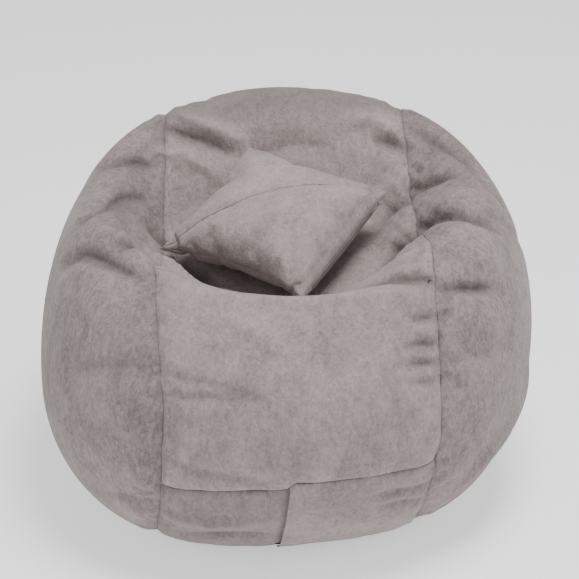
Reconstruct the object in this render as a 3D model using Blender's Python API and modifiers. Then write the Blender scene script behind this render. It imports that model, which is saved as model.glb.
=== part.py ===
"""Bean bag chair with a loose scatter cushion, in metres, +Z up, the front towards -Y.

The origin is the middle of the flat underside, on the floor. The bag is one smooth form, from which each
sewn panel, the liner and the bead filling take their own layer. The cushion lies in the seat hollow.
"""

import math

import bmesh
import bpy
import numpy as np
from mathutils import Matrix, Vector

# Bag: overall sizes
BAG_WIDTH = 0.926
BAG_DEPTH = 0.884
BASE_WIDTH = 0.630
BASE_DEPTH = 0.595
BASE_SHIFT_BACK = 0.045
FRONT_RIM_HEIGHT = 0.524
BACK_RIM_HEIGHT = 0.680
LEFT_RIM_HEIGHT = 0.590
RIGHT_RIM_HEIGHT = 0.615
RIM_WIDTH = 0.635
RIM_FRONT_REACH = 0.265
RIM_BACK_REACH = 0.280
BELLY_HEIGHT = 0.287
SEAT_HEIGHT = 0.460
SEAT_SLOPE_BACK = 0.20
SEAT_SLOPE_RIGHT = 0.10
SEAT_WALL_SHARE = 0.50
RIM_ROLL_SHARE = 0.12

# Bag: how the filling settles, as ratios at eight azimuths from the right (+X), going by the back
BELLY_FULLNESS = (1.000, 1.024, 1.000, 1.015, 1.000, 1.040, 1.000, 1.013)
BELLY_LIFT = (1.11, 1.07, 1.03, 0.98, 0.82, 0.93, 1.03, 1.05)
BASE_FULLNESS = (1.02, 1.01, 1.02, 1.01, 0.98, 1.04, 0.97, 0.98)
RIM_FULLNESS = (1.00, 1.17, 1.00, 1.17, 1.00, 1.07, 1.00, 1.10)
UNDERCUT = (1.86, 1.83, 1.82, 1.84, 1.94, 1.90, 1.68, 1.83)

# Cover
COVER_THICKNESS = 0.002
SEAM_GAP = 0.7 * COVER_THICKNESS
LEFT_SEAM_X = -0.235
RIGHT_SEAM_X = 0.260
BASE_SEAM_HEIGHT = 0.011
BAND_HEIGHT = 0.245
FLAP_EDGE_X = -0.018
FLAP_WIDTH = 0.060
FLAP_LIFT_OFF_FLOOR = 0.022
UNDERLAP = 0.028
UNDERLAP_STEP = 0.040

# Layers under the cover, as depths below the outside
LINER_DEPTH = 0.0070
LINER_THICKNESS = 0.001
FILL_DEPTH = 0.0125

# Zips: flat coil zips, two tapes each
CLEARANCE = 0.0003
TAPE_WIDTH = 0.012
TAPE_THICKNESS = 0.0008
COIL_WIDTH = 0.0014
COIL_HEIGHT = 0.0009
CHAIN_GAP = 0.0014
SLIDER_LENGTH = 0.011
SLIDER_PLATE = 0.0008
SLIDER_POST = 0.0008
COVER_ZIP_X = 0.022
COVER_ZIP_LENGTH = 0.36
COVER_ZIP_MIDDLE_Y = 0.045
COVER_SLIT_WIDTH = 0.012
LINER_ZIP_X = -0.110
LINER_ZIP_LENGTH = 0.30
LINER_ZIP_MIDDLE_Y = 0.045
LINER_SLIT_WIDTH = 0.010

# Cushion: as stuffed, corner to corner
CUSHION_SIDE = 0.300
CUSHION_THICKNESS = 0.114
CUSHION_PULL_IN = 0.10
CUSHION_PLACE = (-0.017, 0.000)
CUSHION_CLEARANCE = 0.03 * CUSHION_SIDE
CUSHION_RIGHTWARD = (0.972, 0.140, 0.183)
CUSHION_UPWARD = (-0.183, 0.950, 0.246)
CUSHION_COVER_THICKNESS = 0.0016
CASING_THICKNESS = 0.0010
CASING_CLEARANCE = 0.0012
EDGE_BUILD_UP = 1.6
PRINT_DEPTH = 0.1 * CUSHION_SIDE
PRINT_FLARE = 0.9
CROWN_POWER = 0.8
CORNER_SQUARENESS = 5

CUSHION_ZIP_LENGTH = 0.236
CUSHION_SLIT_WIDTH = 0.0076
CUSHION_TAPE_WIDTH = 0.0028
BRIDGE_LENGTH = 0.007
BRIDGE_WIDTH = 0.0022
BRIDGE_BAR = 0.0010
BRIDGE_ROOM = 0.0016
PULL_LENGTH = 0.014
PULL_WIDTH = 0.0054
PULL_THICKNESS = 0.0008
PULL_BAR = 0.0010
PULL_WINDOW = 0.0030
TAB_LENGTH = 0.008
TAB_REACH = 0.006
TAB_THICKNESS = 0.0014

# Mesh fineness
AZIMUTH_STEPS = 44
RUNS = (-1, -0.5, 0, 0.1, 0.22, 0.45, 0.72, 1, 1.35, 1.7, 2, 2.12, 2.25, 2.38, 2.52, 2.68, 2.84, 3)
PILLOW_STEPS = 10

UP = Vector((0, 0, 1))


def material(name, colour, roughness, metallic=0.0):
    made = bpy.data.materials.new(name)
    made.use_nodes = True
    shader = made.node_tree.nodes["Principled BSDF"]
    shader.inputs["Base Color"].default_value = (*colour, 1)
    shader.inputs["Roughness"].default_value = roughness
    shader.inputs["Metallic"].default_value = metallic
    return made


def clear_scene():
    for old in list(bpy.data.objects):
        bpy.data.objects.remove(old, do_unlink=True)


def collection(name, hidden=False):
    made = bpy.data.collections.new(name)
    made.hide_render = hidden
    bpy.context.scene.collection.children.link(made)
    return made


def add_object(name, data, home, look=None):
    made = bpy.data.objects.new(name, data)
    home.objects.link(made)
    if look:
        data.materials.append(look)
    return made


def face_outwards(bm):
    """Turns a closed body's faces outwards."""
    bmesh.ops.recalc_face_normals(bm, faces=bm.faces)
    if bm.calc_volume(signed=True) < 0:
        bmesh.ops.reverse_faces(bm, faces=bm.faces)


def mesh_object(name, bm, home, look=None):
    data = bpy.data.meshes.new(name)
    bm.to_mesh(data)
    bm.free()
    data.shade_smooth()
    data.set_sharp_from_angle(angle=math.radians(40))
    return add_object(name, data, home, look)


def smooth_step(low, high, value):
    share = np.clip((value - low) / (high - low), 0, 1)
    return share * share * (3 - 2 * share)


def smooth_min(a, b, width):
    """The lower of two surfaces, rounded over this width where they cross."""
    share = np.clip(0.5 + 0.5 * (b - a) / width, 0, 1)
    return b + (a - b) * share - width * share * (1 - share)


def round_the_bag(ratios, azimuth):
    """A smooth closed curve through values at evenly spaced azimuths."""
    count = len(ratios)
    values = np.asarray(ratios)
    place = (azimuth % (2 * math.pi)) / (2 * math.pi) * count
    first = np.floor(place).astype(int)
    f = place - first
    before, here, there, after = (values[(first + k) % count] for k in (-1, 0, 1, 2))
    bend = 2 * before - 5 * here + 4 * there - after
    twist = 3 * (here - there) + after - before
    return 0.5 * (2 * here + (there - before) * f + bend * f**2 + twist * f**3)


def ellipse_reach(azimuth, right, back, front=None):
    """Distance from the middle to an ellipse whose front half may be shallower than its back half."""
    front = back if front is None else front
    depth = np.where(np.sin(azimuth) < 0, front, back)
    return 1 / np.sqrt((np.cos(azimuth) / right) ** 2 + (np.sin(azimuth) / depth) ** 2)


def rim_height(azimuth):
    across = np.where(np.cos(azimuth) > 0, RIGHT_RIM_HEIGHT, LEFT_RIM_HEIGHT)
    along = np.where(np.sin(azimuth) > 0, BACK_RIM_HEIGHT, FRONT_RIM_HEIGHT)
    return across * np.cos(azimuth) ** 2 + along * np.sin(azimuth) ** 2


def cushion_axes():
    """The cushion's own frame: along its zip side, across to the opposite side, and its upper face's normal."""
    right = Vector(CUSHION_RIGHTWARD).normalized()
    upward = Vector(CUSHION_UPWARD)
    upward = (upward - right * upward.dot(right)).normalized()
    along = (right + upward).normalized()
    across = (upward - right).normalized()
    return along, across, along.cross(across)


def cushion_matrix():
    along, across, normal = cushion_axes()
    x, y = CUSHION_PLACE
    floor = SEAT_HEIGHT + SEAT_SLOPE_BACK * y + SEAT_SLOPE_RIGHT * x
    z = floor + CUSHION_THICKNESS / 2 + CUSHION_CLEARANCE + PRINT_DEPTH / 2
    turn = Matrix((along, across, normal)).transposed().to_4x4()
    return Matrix.Translation((x, y, z)) @ turn


def under_cushion(x, y):
    """The highest the seat may stand at a point, so that the cushion lies clear in its own print."""
    place = cushion_matrix()
    along, across, normal = (np.array(axis) for axis in cushion_axes())
    centre = np.array(place.translation)
    plane = centre[2] - (normal[0] * (x - centre[0]) + normal[1] * (y - centre[1])) / normal[2]
    offset = np.stack([x, y, plane], -1) - centre
    half = CUSHION_SIDE / 2 + CUSHION_CLEARANCE
    u, v = offset @ along / half, offset @ across / half
    power = CORNER_SQUARENESS
    reach = (np.abs(u) ** power + np.abs(v) ** power) ** (1 / power)
    belly = np.sqrt(np.clip(1 - u**2, 0, 1) * np.clip(1 - v**2, 0, 1)) ** CROWN_POWER
    beyond = np.clip(reach - 1, 0, None) * half * PRINT_FLARE
    return plane - CUSHION_THICKNESS / 2 * belly - CUSHION_CLEARANCE + beyond


def bag_points(azimuth, run):
    """The bag's outside. Run goes from -1 at the middle of the base by 0 at the edge of its flat part, 1 at the
    belly and 2 at the rim to 3 in the middle of the seat."""
    belly = ellipse_reach(azimuth, BAG_WIDTH / 2, BAG_DEPTH / 2) * round_the_bag(BELLY_FULLNESS, azimuth)
    belly_height = BELLY_HEIGHT * round_the_bag(BELLY_LIFT, azimuth)
    base = ellipse_reach(azimuth, BASE_WIDTH / 2, BASE_DEPTH / 2) * round_the_bag(BASE_FULLNESS, azimuth)
    rim = ellipse_reach(azimuth, RIM_WIDTH / 2, RIM_BACK_REACH, RIM_FRONT_REACH)
    rim = rim * round_the_bag(RIM_FULLNESS, azimuth)
    top = rim_height(azimuth)
    undercut = round_the_bag(UNDERCUT, azimuth)

    low = np.clip(run, 0, 1) * math.pi / 2
    spread = np.sin(low) ** (2 / undercut)
    high = np.clip(run - 1, 0, 1) * math.pi / 2
    seat = np.clip(run - 2, 0, 1)
    reach = np.where(run <= 1, base + (belly - base) * spread, rim + (belly - rim) * np.cos(high))
    reach = np.where(run < 0, base * (1 + run), reach)
    reach = np.where(run > 2, rim * (1 - seat), reach)
    x = reach * np.cos(azimuth)
    y = reach * np.sin(azimuth) + BASE_SHIFT_BACK * (1 - spread)

    lower = belly_height * (1 - np.cos(low) ** (2 / undercut))
    upper = belly_height + (top - belly_height) * np.sin(high)
    floor = SEAT_HEIGHT + SEAT_SLOPE_BACK * y + SEAT_SLOPE_RIGHT * x
    wall = 1 - smooth_step(0, SEAT_WALL_SHARE, seat)
    hollow = smooth_min(floor + (top - floor) * wall, under_cushion(x, y), PRINT_DEPTH)
    hollow = top + (hollow - top) * smooth_step(0, RIM_ROLL_SHARE, seat)
    z = np.where(run <= 1, lower, np.where(run <= 2, upper, hollow))
    return np.stack([x, y, z], -1)


def bag_skin(depth):
    """The whole bag as one closed skin, this deep under its outside."""
    azimuths = np.arange(AZIMUTH_STEPS) * 2 * math.pi / AZIMUTH_STEPS
    run, azimuth = np.meshgrid(np.array(RUNS[1:-1], float), azimuths, indexing="ij")
    step = 1e-4
    points = bag_points(azimuth, run)
    sideways = bag_points(azimuth + step, run) - bag_points(azimuth - step, run)
    upwards = bag_points(azimuth, run + step) - bag_points(azimuth, run - step)
    outward = np.cross(sideways, upwards)
    outward /= np.linalg.norm(outward, axis=-1, keepdims=True)
    points = points - depth * outward
    ends = [bag_points(np.zeros(1), np.full(1, float(run)))[0] for run in (RUNS[0], RUNS[-1])]
    ends[0][2] += depth
    ends[1][2] -= depth

    bm = bmesh.new()
    rings = [[bm.verts.new(point) for point in row] for row in points]
    bottom, middle = (bm.verts.new(point) for point in ends)
    for i in range(AZIMUTH_STEPS):
        j = (i + 1) % AZIMUTH_STEPS
        for lower, upper in zip(rings, rings[1:]):
            bm.faces.new((lower[i], lower[j], upper[j], upper[i]))
        bm.faces.new((bottom, rings[0][j], rings[0][i]))
        bm.faces.new((middle, rings[-1][i], rings[-1][j]))
    face_outwards(bm)
    return bm


def inside(point, box):
    return all(low < value < high for value, (low, high) in zip(point, box))


def panel(name, home, look, box, hole=None, depth=0.0, thickness=COVER_THICKNESS, tuck=None):
    """One sewn panel: the bag's skin inside a box, less a hole, given its cloth's thickness. A box is the low and
    high limits along X, Y and Z."""
    bm = bag_skin(depth)
    boxes = [box, hole] if hole else [box]
    limits = sorted({(axis, side) for each in boxes for axis in range(3) for side in each[axis]})
    for axis, place in limits:
        if math.isfinite(place):
            normal = Vector([float(k == axis) for k in range(3)])
            whole = bm.verts[:] + bm.edges[:] + bm.faces[:]
            bmesh.ops.bisect_plane(bm, geom=whole, dist=1e-5, plane_co=normal * place, plane_no=normal)
    middles = [(face, face.calc_center_median()) for face in bm.faces]
    unwanted = [face for face, middle in middles
                if not inside(middle, box) or (hole and inside(middle, hole))]
    bmesh.ops.delete(bm, geom=unwanted, context="FACES")
    if tuck:
        bm.normal_update()
        moves = [(vert, vert.normal * -tuck(vert.co)) for vert in bm.verts]
        for vert, move in moves:
            vert.co += move
    made = mesh_object(name, bm, home, look)
    shell = made.modifiers.new("cloth", "SOLIDIFY")
    shell.thickness = thickness
    shell.offset = -1
    return made


def slit_hole(x, width, middle_y, length, top):
    return ((x - width / 2, x + width / 2), (middle_y - length / 2, middle_y + length / 2), (-math.inf, top))


def build_cover(home, suede, side_suede, base_cloth):
    gap = SEAM_GAP / 2
    across = (LEFT_SEAM_X + gap, RIGHT_SEAM_X - gap)
    above_base = (BASE_SEAM_HEIGHT + gap, math.inf)
    in_band = (BASE_SEAM_HEIGHT + gap, BAND_HEIGHT - gap)
    anywhere, front = (-math.inf, math.inf), (-math.inf, 0)
    fold_x = FLAP_EDGE_X + FLAP_WIDTH

    panel("centre_panel", home, suede, (across, anywhere, above_base),
          hole=(anywhere, front, (-math.inf, BAND_HEIGHT + gap)))
    panel("left_side_panel", home, side_suede, ((-math.inf, LEFT_SEAM_X - gap), anywhere, above_base))
    panel("right_side_panel", home, side_suede, ((RIGHT_SEAM_X + gap, math.inf), anywhere, above_base))

    def tuck(point):
        share = smooth_step(FLAP_EDGE_X - UNDERLAP_STEP, FLAP_EDGE_X - UNDERLAP_STEP / 4, point.x)
        return (COVER_THICKNESS + SEAM_GAP) * float(share)

    panel("left_closure_band", home, suede, ((across[0], FLAP_EDGE_X + UNDERLAP), front, in_band), tuck=tuck)
    panel("right_closure_band", home, suede, ((fold_x + gap, across[1]), front, in_band))
    flap = panel("closure_flap", home, suede,
                 ((FLAP_EDGE_X, fold_x - gap), front, (FLAP_LIFT_OFF_FLOOR, in_band[1])))
    set_origin(flap, flap_axis()[0])
    slit = slit_hole(COVER_ZIP_X, COVER_SLIT_WIDTH, COVER_ZIP_MIDDLE_Y, COVER_ZIP_LENGTH, BASE_SEAM_HEIGHT)
    panel("base_panel", home, base_cloth, (anywhere, anywhere, (-math.inf, BASE_SEAM_HEIGHT - gap)), hole=slit)


def flap_axis():
    """A point and a direction of the flap's fold: a straight line just outside the whole of its sewn edge, which
    bulges outwards in the middle, so that the edge turns away from its neighbour as the flap opens."""
    fold_x = FLAP_EDGE_X + FLAP_WIDTH
    run = np.linspace(0, 1, 201)
    azimuth = np.full_like(run, 1.5 * math.pi)
    for _ in range(8):
        points = bag_points(azimuth, run)
        azimuth = azimuth + (fold_x - points[:, 0]) / np.abs(points[:, 1])
    points = bag_points(azimuth, run)
    points = points[(points[:, 2] > FLAP_LIFT_OFF_FLOOR) & (points[:, 2] < BAND_HEIGHT)]
    low, high = points[0], points[-1]
    direction = (high - low) / np.linalg.norm(high - low)
    outward = np.cross((1, 0, 0), direction)
    bulge = ((points - low) @ outward).max()
    place = (low + high) / 2 + outward * (bulge + COVER_THICKNESS)
    return Vector((fold_x, place[1], place[2])), Vector((0, direction[1], direction[2])).normalized()


def set_origin(obj, place):
    """Moves an object's origin onto its joint, and leaves its shape where it is."""
    obj.data.transform(Matrix.Translation(-Vector(place)))
    obj.location = place


def build_liner(home, cloth, base_cloth):
    gap = SEAM_GAP / 2
    seam = BASE_SEAM_HEIGHT + LINER_DEPTH
    anywhere = (-math.inf, math.inf)
    panel("liner_body", home, cloth, (anywhere, anywhere, (seam + gap, math.inf)),
          depth=LINER_DEPTH, thickness=LINER_THICKNESS)
    slit = slit_hole(LINER_ZIP_X, LINER_SLIT_WIDTH, LINER_ZIP_MIDDLE_Y, LINER_ZIP_LENGTH, seam)
    panel("liner_base", home, base_cloth, (anywhere, anywhere, (-math.inf, seam - gap)), hole=slit,
          depth=LINER_DEPTH, thickness=LINER_THICKNESS)


def build_fill(home, look):
    mesh_object("bead_fill", bag_skin(FILL_DEPTH), home, look)


def outline_solid(name, outline, length, home, look, place, holes=()):
    """A flat outline given a depth: the outline is in the object's own XY, and the depth is centred on it."""
    curve = bpy.data.curves.new(name, "CURVE")
    curve.dimensions = "2D"
    curve.fill_mode = "BOTH"
    curve.extrude = length / 2
    for points in (outline, *holes):
        spline = curve.splines.new("POLY")
        spline.points.add(len(points) - 1)
        for target, (x, y) in zip(spline.points, points):
            target.co = (x, y, 0, 1)
        spline.use_cyclic_u = True
    source = add_object(name + "_outline", curve, home)
    bpy.context.view_layer.update()
    data = bpy.data.meshes.new_from_object(source.evaluated_get(bpy.context.evaluated_depsgraph_get()))
    data.name = name
    bpy.data.objects.remove(source, do_unlink=True)
    bpy.data.curves.remove(curve)
    bm = bmesh.new()
    bm.from_mesh(data)
    bmesh.ops.remove_doubles(bm, verts=bm.verts, dist=1e-5)
    face_outwards(bm)
    bm.to_mesh(data)
    bm.free()
    made = add_object(name, data, home, look)
    made.matrix_world = place
    return made


def tape_outline(side, width):
    """A tape's section: x runs across the zip from its middle, y from the coil's face to the tape's back."""
    inner = CHAIN_GAP / 2
    corners = ((inner, 0), (inner + COIL_WIDTH, 0), (inner + COIL_WIDTH, COIL_HEIGHT), (width, COIL_HEIGHT),
               (width, COIL_HEIGHT + TAPE_THICKNESS), (inner, COIL_HEIGHT + TAPE_THICKNESS))
    return [(side * x, y) for x, y in corners]


def slider_outline(half_width):
    """A slider's section: an outer and an inner plate on a post that runs in the gap of the chain."""
    outer, inner = -CLEARANCE, COIL_HEIGHT + TAPE_THICKNESS + CLEARANCE
    post = SLIDER_POST / 2
    right = [(post, inner), (half_width, inner), (half_width, inner + SLIDER_PLATE)]
    left = [(-x, y) for x, y in reversed(right)]
    under = [(-half_width, outer - SLIDER_PLATE), (half_width, outer - SLIDER_PLATE)]
    return ([(half_width, outer), (post, outer)] + right + left
            + [(-post, outer), (-half_width, outer)] + under)


def zip_place(middle, along, depthward):
    """The frame of a zip's section: X across it, Y into the cloth and Z along it."""
    across = depthward.cross(along)
    turn = Matrix((across, depthward, along)).transposed().to_4x4()
    return Matrix.Translation(middle) @ turn


def build_base_zip(prefix, home, tape_look, slider_look, x, middle_y, length, slit, cloth_back):
    """A straight zip on the inside of a flat base, its coil looking down through the slit."""
    coil_face = cloth_back + CLEARANCE - COIL_HEIGHT
    middle = Vector((x, middle_y, coil_face))
    along = Vector((0, 1, 0))
    place = zip_place(middle, along, UP)
    side_names = (("left", -1), ("right", 1))
    for side_name, side in side_names:
        outline = tape_outline(side, TAPE_WIDTH)
        outline_solid(f"{prefix}_zip_{side_name}_tape", outline, length - 2 * CLEARANCE, home, tape_look, place)
    half_width = slit / 2 - 2 * CLEARANCE
    start = middle - along * (length / 2 - SLIDER_LENGTH)
    outline_solid(f"{prefix}_zip_slider", slider_outline(half_width), SLIDER_LENGTH, home, slider_look,
                  zip_place(start, along, UP))


def pillow_grid(bm, depth, side, lift):
    """One crowned face of the cushion, this deep under its outside, and deeper at the edge, where the seam's
    layers build up. The zip side stays straight, and the other sides pull in."""
    half_side = CUSHION_SIDE / 2 - depth * EDGE_BUILD_UP
    half_height = CUSHION_THICKNESS / 2 - depth
    made = bmesh.ops.create_grid(bm, x_segments=PILLOW_STEPS, y_segments=PILLOW_STEPS, size=1)
    for vert in made["verts"]:
        s, q = vert.co.x * math.pi / 2, vert.co.y * math.pi / 2
        u, v = math.sin(s), math.sin(q)
        pull = CUSHION_PULL_IN
        pull_across = pull * (1 + v) / 2
        crown = max(math.cos(s) * math.cos(q), 0) ** CROWN_POWER
        vert.co = (half_side * u * (1 - pull * (1 - v * v)), half_side * v * (1 - pull_across * (1 - u * u)),
                   side * (lift + half_height * crown))
    # Nested faces keep clear of each other only if their quads are split along the same diagonal.
    bmesh.ops.triangulate(bm, faces=faces_of(bm, made["verts"]), quad_method="LONG_EDGE")
    return made["verts"]


def faces_of(bm, verts):
    chosen = set(verts)
    return [face for face in bm.faces if face.verts[0] in chosen]


def boundary(bm, verts):
    chosen = set(verts)
    return [edge for edge in bm.edges if edge.verts[0] in chosen and edge.is_boundary]


def pillow_half(name, home, look, depth, thickness, side):
    """Half of a sewn pillow case: the space between two crowned faces, closed along the edge seam."""
    lift = SEAM_GAP / 4
    bm = bmesh.new()
    loops = []
    for deep in (depth, depth + thickness):
        verts = pillow_grid(bm, deep, side, lift)
        loops += boundary(bm, verts)
    bmesh.ops.reverse_faces(bm, faces=faces_of(bm, verts))
    bmesh.ops.bridge_loops(bm, edges=loops)
    face_outwards(bm)
    made = mesh_object(name, bm, home, look)
    made.matrix_world = cushion_matrix()
    return made


def pillow_solid(name, home, look, depth):
    bm = bmesh.new()
    loops = []
    for side in (1, -1):
        verts = pillow_grid(bm, depth, side, SEAM_GAP / 4)
        loops += boundary(bm, verts)
    bmesh.ops.reverse_faces(bm, faces=faces_of(bm, verts))
    bmesh.ops.bridge_loops(bm, edges=loops)
    face_outwards(bm)
    made = mesh_object(name, bm, home, look)
    made.matrix_world = cushion_matrix()
    return made


def box_cutter(name, home, size, place):
    bm = bmesh.new()
    bmesh.ops.create_cube(bm, size=1)
    bmesh.ops.scale(bm, vec=size, verts=bm.verts)
    face_outwards(bm)
    made = mesh_object(name, bm, home)
    made.matrix_world = place
    made.hide_render = True
    made.display_type = "WIRE"
    return made


def cut(target, cutter, operation="DIFFERENCE", solver="EXACT"):
    made = target.modifiers.new(cutter.name, "BOOLEAN")
    made.object = cutter
    made.operation = operation
    made.solver = solver


def build_cushion(home, cutters, suede, casing_cloth, fibre):
    place = cushion_matrix()
    size = CUSHION_SIDE * 2
    slit_depth = (CUSHION_COVER_THICKNESS + CASING_CLEARANCE / 2) * EDGE_BUILD_UP
    slit = box_cutter("cushion_zip_slit", cutters, (CUSHION_ZIP_LENGTH, 2 * slit_depth, CUSHION_SLIT_WIDTH),
                      place @ Matrix.Translation((0, -CUSHION_SIDE / 2, 0)))
    halves = (("cushion_front_upper_panel", 1, 1), ("cushion_front_lower_panel", 1, -1),
              ("cushion_back_panel", -1, 0))
    for name, side, keeps in halves:
        made = pillow_half(name, home, suede, 0, CUSHION_COVER_THICKNESS, side)
        if keeps:
            quarter = Matrix.Rotation(math.radians(-45), 4, "Z")
            away = Matrix.Translation((0, -keeps * (size / 2 - SEAM_GAP / 2), 0))
            cutter = box_cutter(name + "_cut", cutters, (size, size, size), place @ quarter @ away)
            # The diagonal runs through the grid's own corners, where the exact solver loses the shell.
            cut(made, cutter, solver="MANIFOLD")
        if keeps != 1:
            cut(made, slit)
    casing_depth = CUSHION_COVER_THICKNESS + CASING_CLEARANCE
    for name, side in (("cushion_casing_front", 1), ("cushion_casing_back", -1)):
        pillow_half(name, home, casing_cloth, casing_depth, CASING_THICKNESS, side)
    pillow_solid("cushion_fibre_fill", home, fibre, casing_depth + CASING_THICKNESS + CASING_CLEARANCE)


def build_cushion_zip(home, cutters, tape_look, metal):
    """The zip in the lower right side: its coil looks outwards, and its slider is parked at the right corner."""
    frame = cushion_matrix()
    turn = frame.to_3x3()
    along, inward = turn @ Vector((1, 0, 0)), turn @ Vector((0, 1, 0))
    edge = CUSHION_SIDE / 2 - CLEARANCE
    middle = frame @ Vector((0, -edge - COIL_HEIGHT + CLEARANCE, 0))
    place = zip_place(middle, along, inward)
    for name, side in (("upper", -1), ("lower", 1)):
        width = CHAIN_GAP / 2 + CUSHION_TAPE_WIDTH
        outline_solid(f"cushion_zip_{name}_tape", tape_outline(side, width),
                      CUSHION_ZIP_LENGTH - 2 * CLEARANCE, home, tape_look, place)
    start = middle + along * (CUSHION_ZIP_LENGTH / 2 - SLIDER_LENGTH)
    half_width = CUSHION_SLIT_WIDTH / 2 - 2 * CLEARANCE
    slider = outline_solid("cushion_zip_slider", slider_outline(half_width), SLIDER_LENGTH, home, metal,
                           zip_place(start, along, inward))
    build_bridge_and_pull(home, cutters, metal, slider, start, along, inward)
    tab_middle = frame @ Vector((CUSHION_ZIP_LENGTH / 2 + TAB_LENGTH / 2 + 2 * CLEARANCE,
                                 -CUSHION_SIDE / 2 - TAB_REACH / 2 - CLEARANCE, 0))
    half, reach = TAB_LENGTH / 2, TAB_REACH / 2
    outline_solid("cushion_corner_tab", ((-half, -reach), (half, -reach), (half, reach), (-half, reach)),
                  TAB_THICKNESS, home, tape_look, Matrix.Translation(tab_middle) @ turn.to_4x4())


def build_bridge_and_pull(home, cutters, metal, slider, start, along, inward):
    """The slider's bridge, and the pull that turns on it. Sections are drawn along the zip and outwards."""
    plate_face = CLEARANCE + SLIDER_PLATE
    across = inward.cross(along)
    outward = -inward
    turn = Matrix((along, outward, across)).transposed().to_4x4()
    frame = Matrix.Translation(start) @ turn
    half, bar = BRIDGE_LENGTH / 2, BRIDGE_BAR
    foot, under = plate_face - SLIDER_PLATE / 2, plate_face + BRIDGE_ROOM
    arch = ((-half, foot), (-half + bar, foot), (-half + bar, under), (half - bar, under), (half - bar, foot),
            (half, foot), (half, under + bar), (-half, under + bar))
    bridge = outline_solid("cushion_zip_bridge", arch, BRIDGE_WIDTH, cutters, None, frame)
    bridge.hide_render = True
    bridge.display_type = "WIRE"
    cut(slider, bridge, "UNION", "MANIFOLD")

    axis_along = -half + bar + CLEARANCE + PULL_BAR / 2
    axis_out = plate_face + BRIDGE_ROOM / 2
    axis_point = frame @ Vector((axis_along, axis_out, 0))
    wide, hole = PULL_WIDTH / 2, BRIDGE_WIDTH / 2 + CLEARANCE
    near, far = PULL_BAR / 2, PULL_LENGTH - PULL_BAR / 2
    hole_end = near + PULL_WINDOW
    outline = ((near, -wide), (near, wide), (-far + wide / 2, wide), (-far, wide / 2), (-far, -wide / 2),
               (-far + wide / 2, -wide))
    window = ((-near, -hole), (-hole_end, -hole), (-hole_end, hole), (-near, hole))
    turn = Matrix((along, across, -outward)).transposed().to_4x4()
    outline_solid("cushion_zip_pull", outline, PULL_THICKNESS, home, metal,
                  Matrix.Translation(axis_point) @ turn, holes=(window,))


def main():
    clear_scene()
    home = collection("bean_bag_chair")
    cutters = collection("cutters", hidden=True)
    suede = material("taupe_suede", (0.34, 0.30, 0.29), 0.9)
    side_suede = material("taupe_suede_side", (0.29, 0.25, 0.24), 0.9)
    cushion_suede = material("taupe_suede_cushion", (0.38, 0.34, 0.33), 0.9)
    base_cloth = material("dark_base_cloth", (0.03, 0.03, 0.032), 0.85)
    liner_cloth = material("liner_cloth", (0.75, 0.75, 0.73), 0.8)
    casing_cloth = material("casing_cloth", (0.85, 0.84, 0.82), 0.85)
    beads = material("foam_beads", (0.92, 0.92, 0.92), 0.7)
    fibre = material("hollow_fibre", (0.94, 0.94, 0.93), 0.95)
    tape = material("zip_tape", (0.27, 0.24, 0.23), 0.8)
    dark_tape = material("dark_zip_tape", (0.03, 0.03, 0.03), 0.8)
    metal = material("nickel_slider", (0.45, 0.44, 0.43), 0.35, 1.0)

    build_cover(home, suede, side_suede, base_cloth)
    build_base_zip("cover", home, dark_tape, metal, COVER_ZIP_X, COVER_ZIP_MIDDLE_Y, COVER_ZIP_LENGTH,
                   COVER_SLIT_WIDTH, COVER_THICKNESS)
    build_liner(home, liner_cloth, liner_cloth)
    build_base_zip("liner", home, tape, metal, LINER_ZIP_X, LINER_ZIP_MIDDLE_Y, LINER_ZIP_LENGTH,
                   LINER_SLIT_WIDTH, LINER_DEPTH + LINER_THICKNESS)
    build_fill(home, beads)
    build_cushion(home, cutters, cushion_suede, casing_cloth, fibre)
    build_cushion_zip(home, cutters, tape, metal)


main()
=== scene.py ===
# %% [markdown]
# # A bean bag chair and its scatter cushion
# The real thing is a soft shell of brushed suede sewn from a few panels, filled with foam beads, with a loose
# cushion in the hollow of its seat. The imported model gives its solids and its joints. This lesson makes its
# looks: the cloth settles by simulation, the seams are cut and pulled in afterwards, and each finish is a
# material built from nodes.

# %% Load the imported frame
import math

import bmesh
import bpy
import numpy as np
from mathutils import Matrix, Vector
from mathutils.bvhtree import BVHTree


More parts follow.
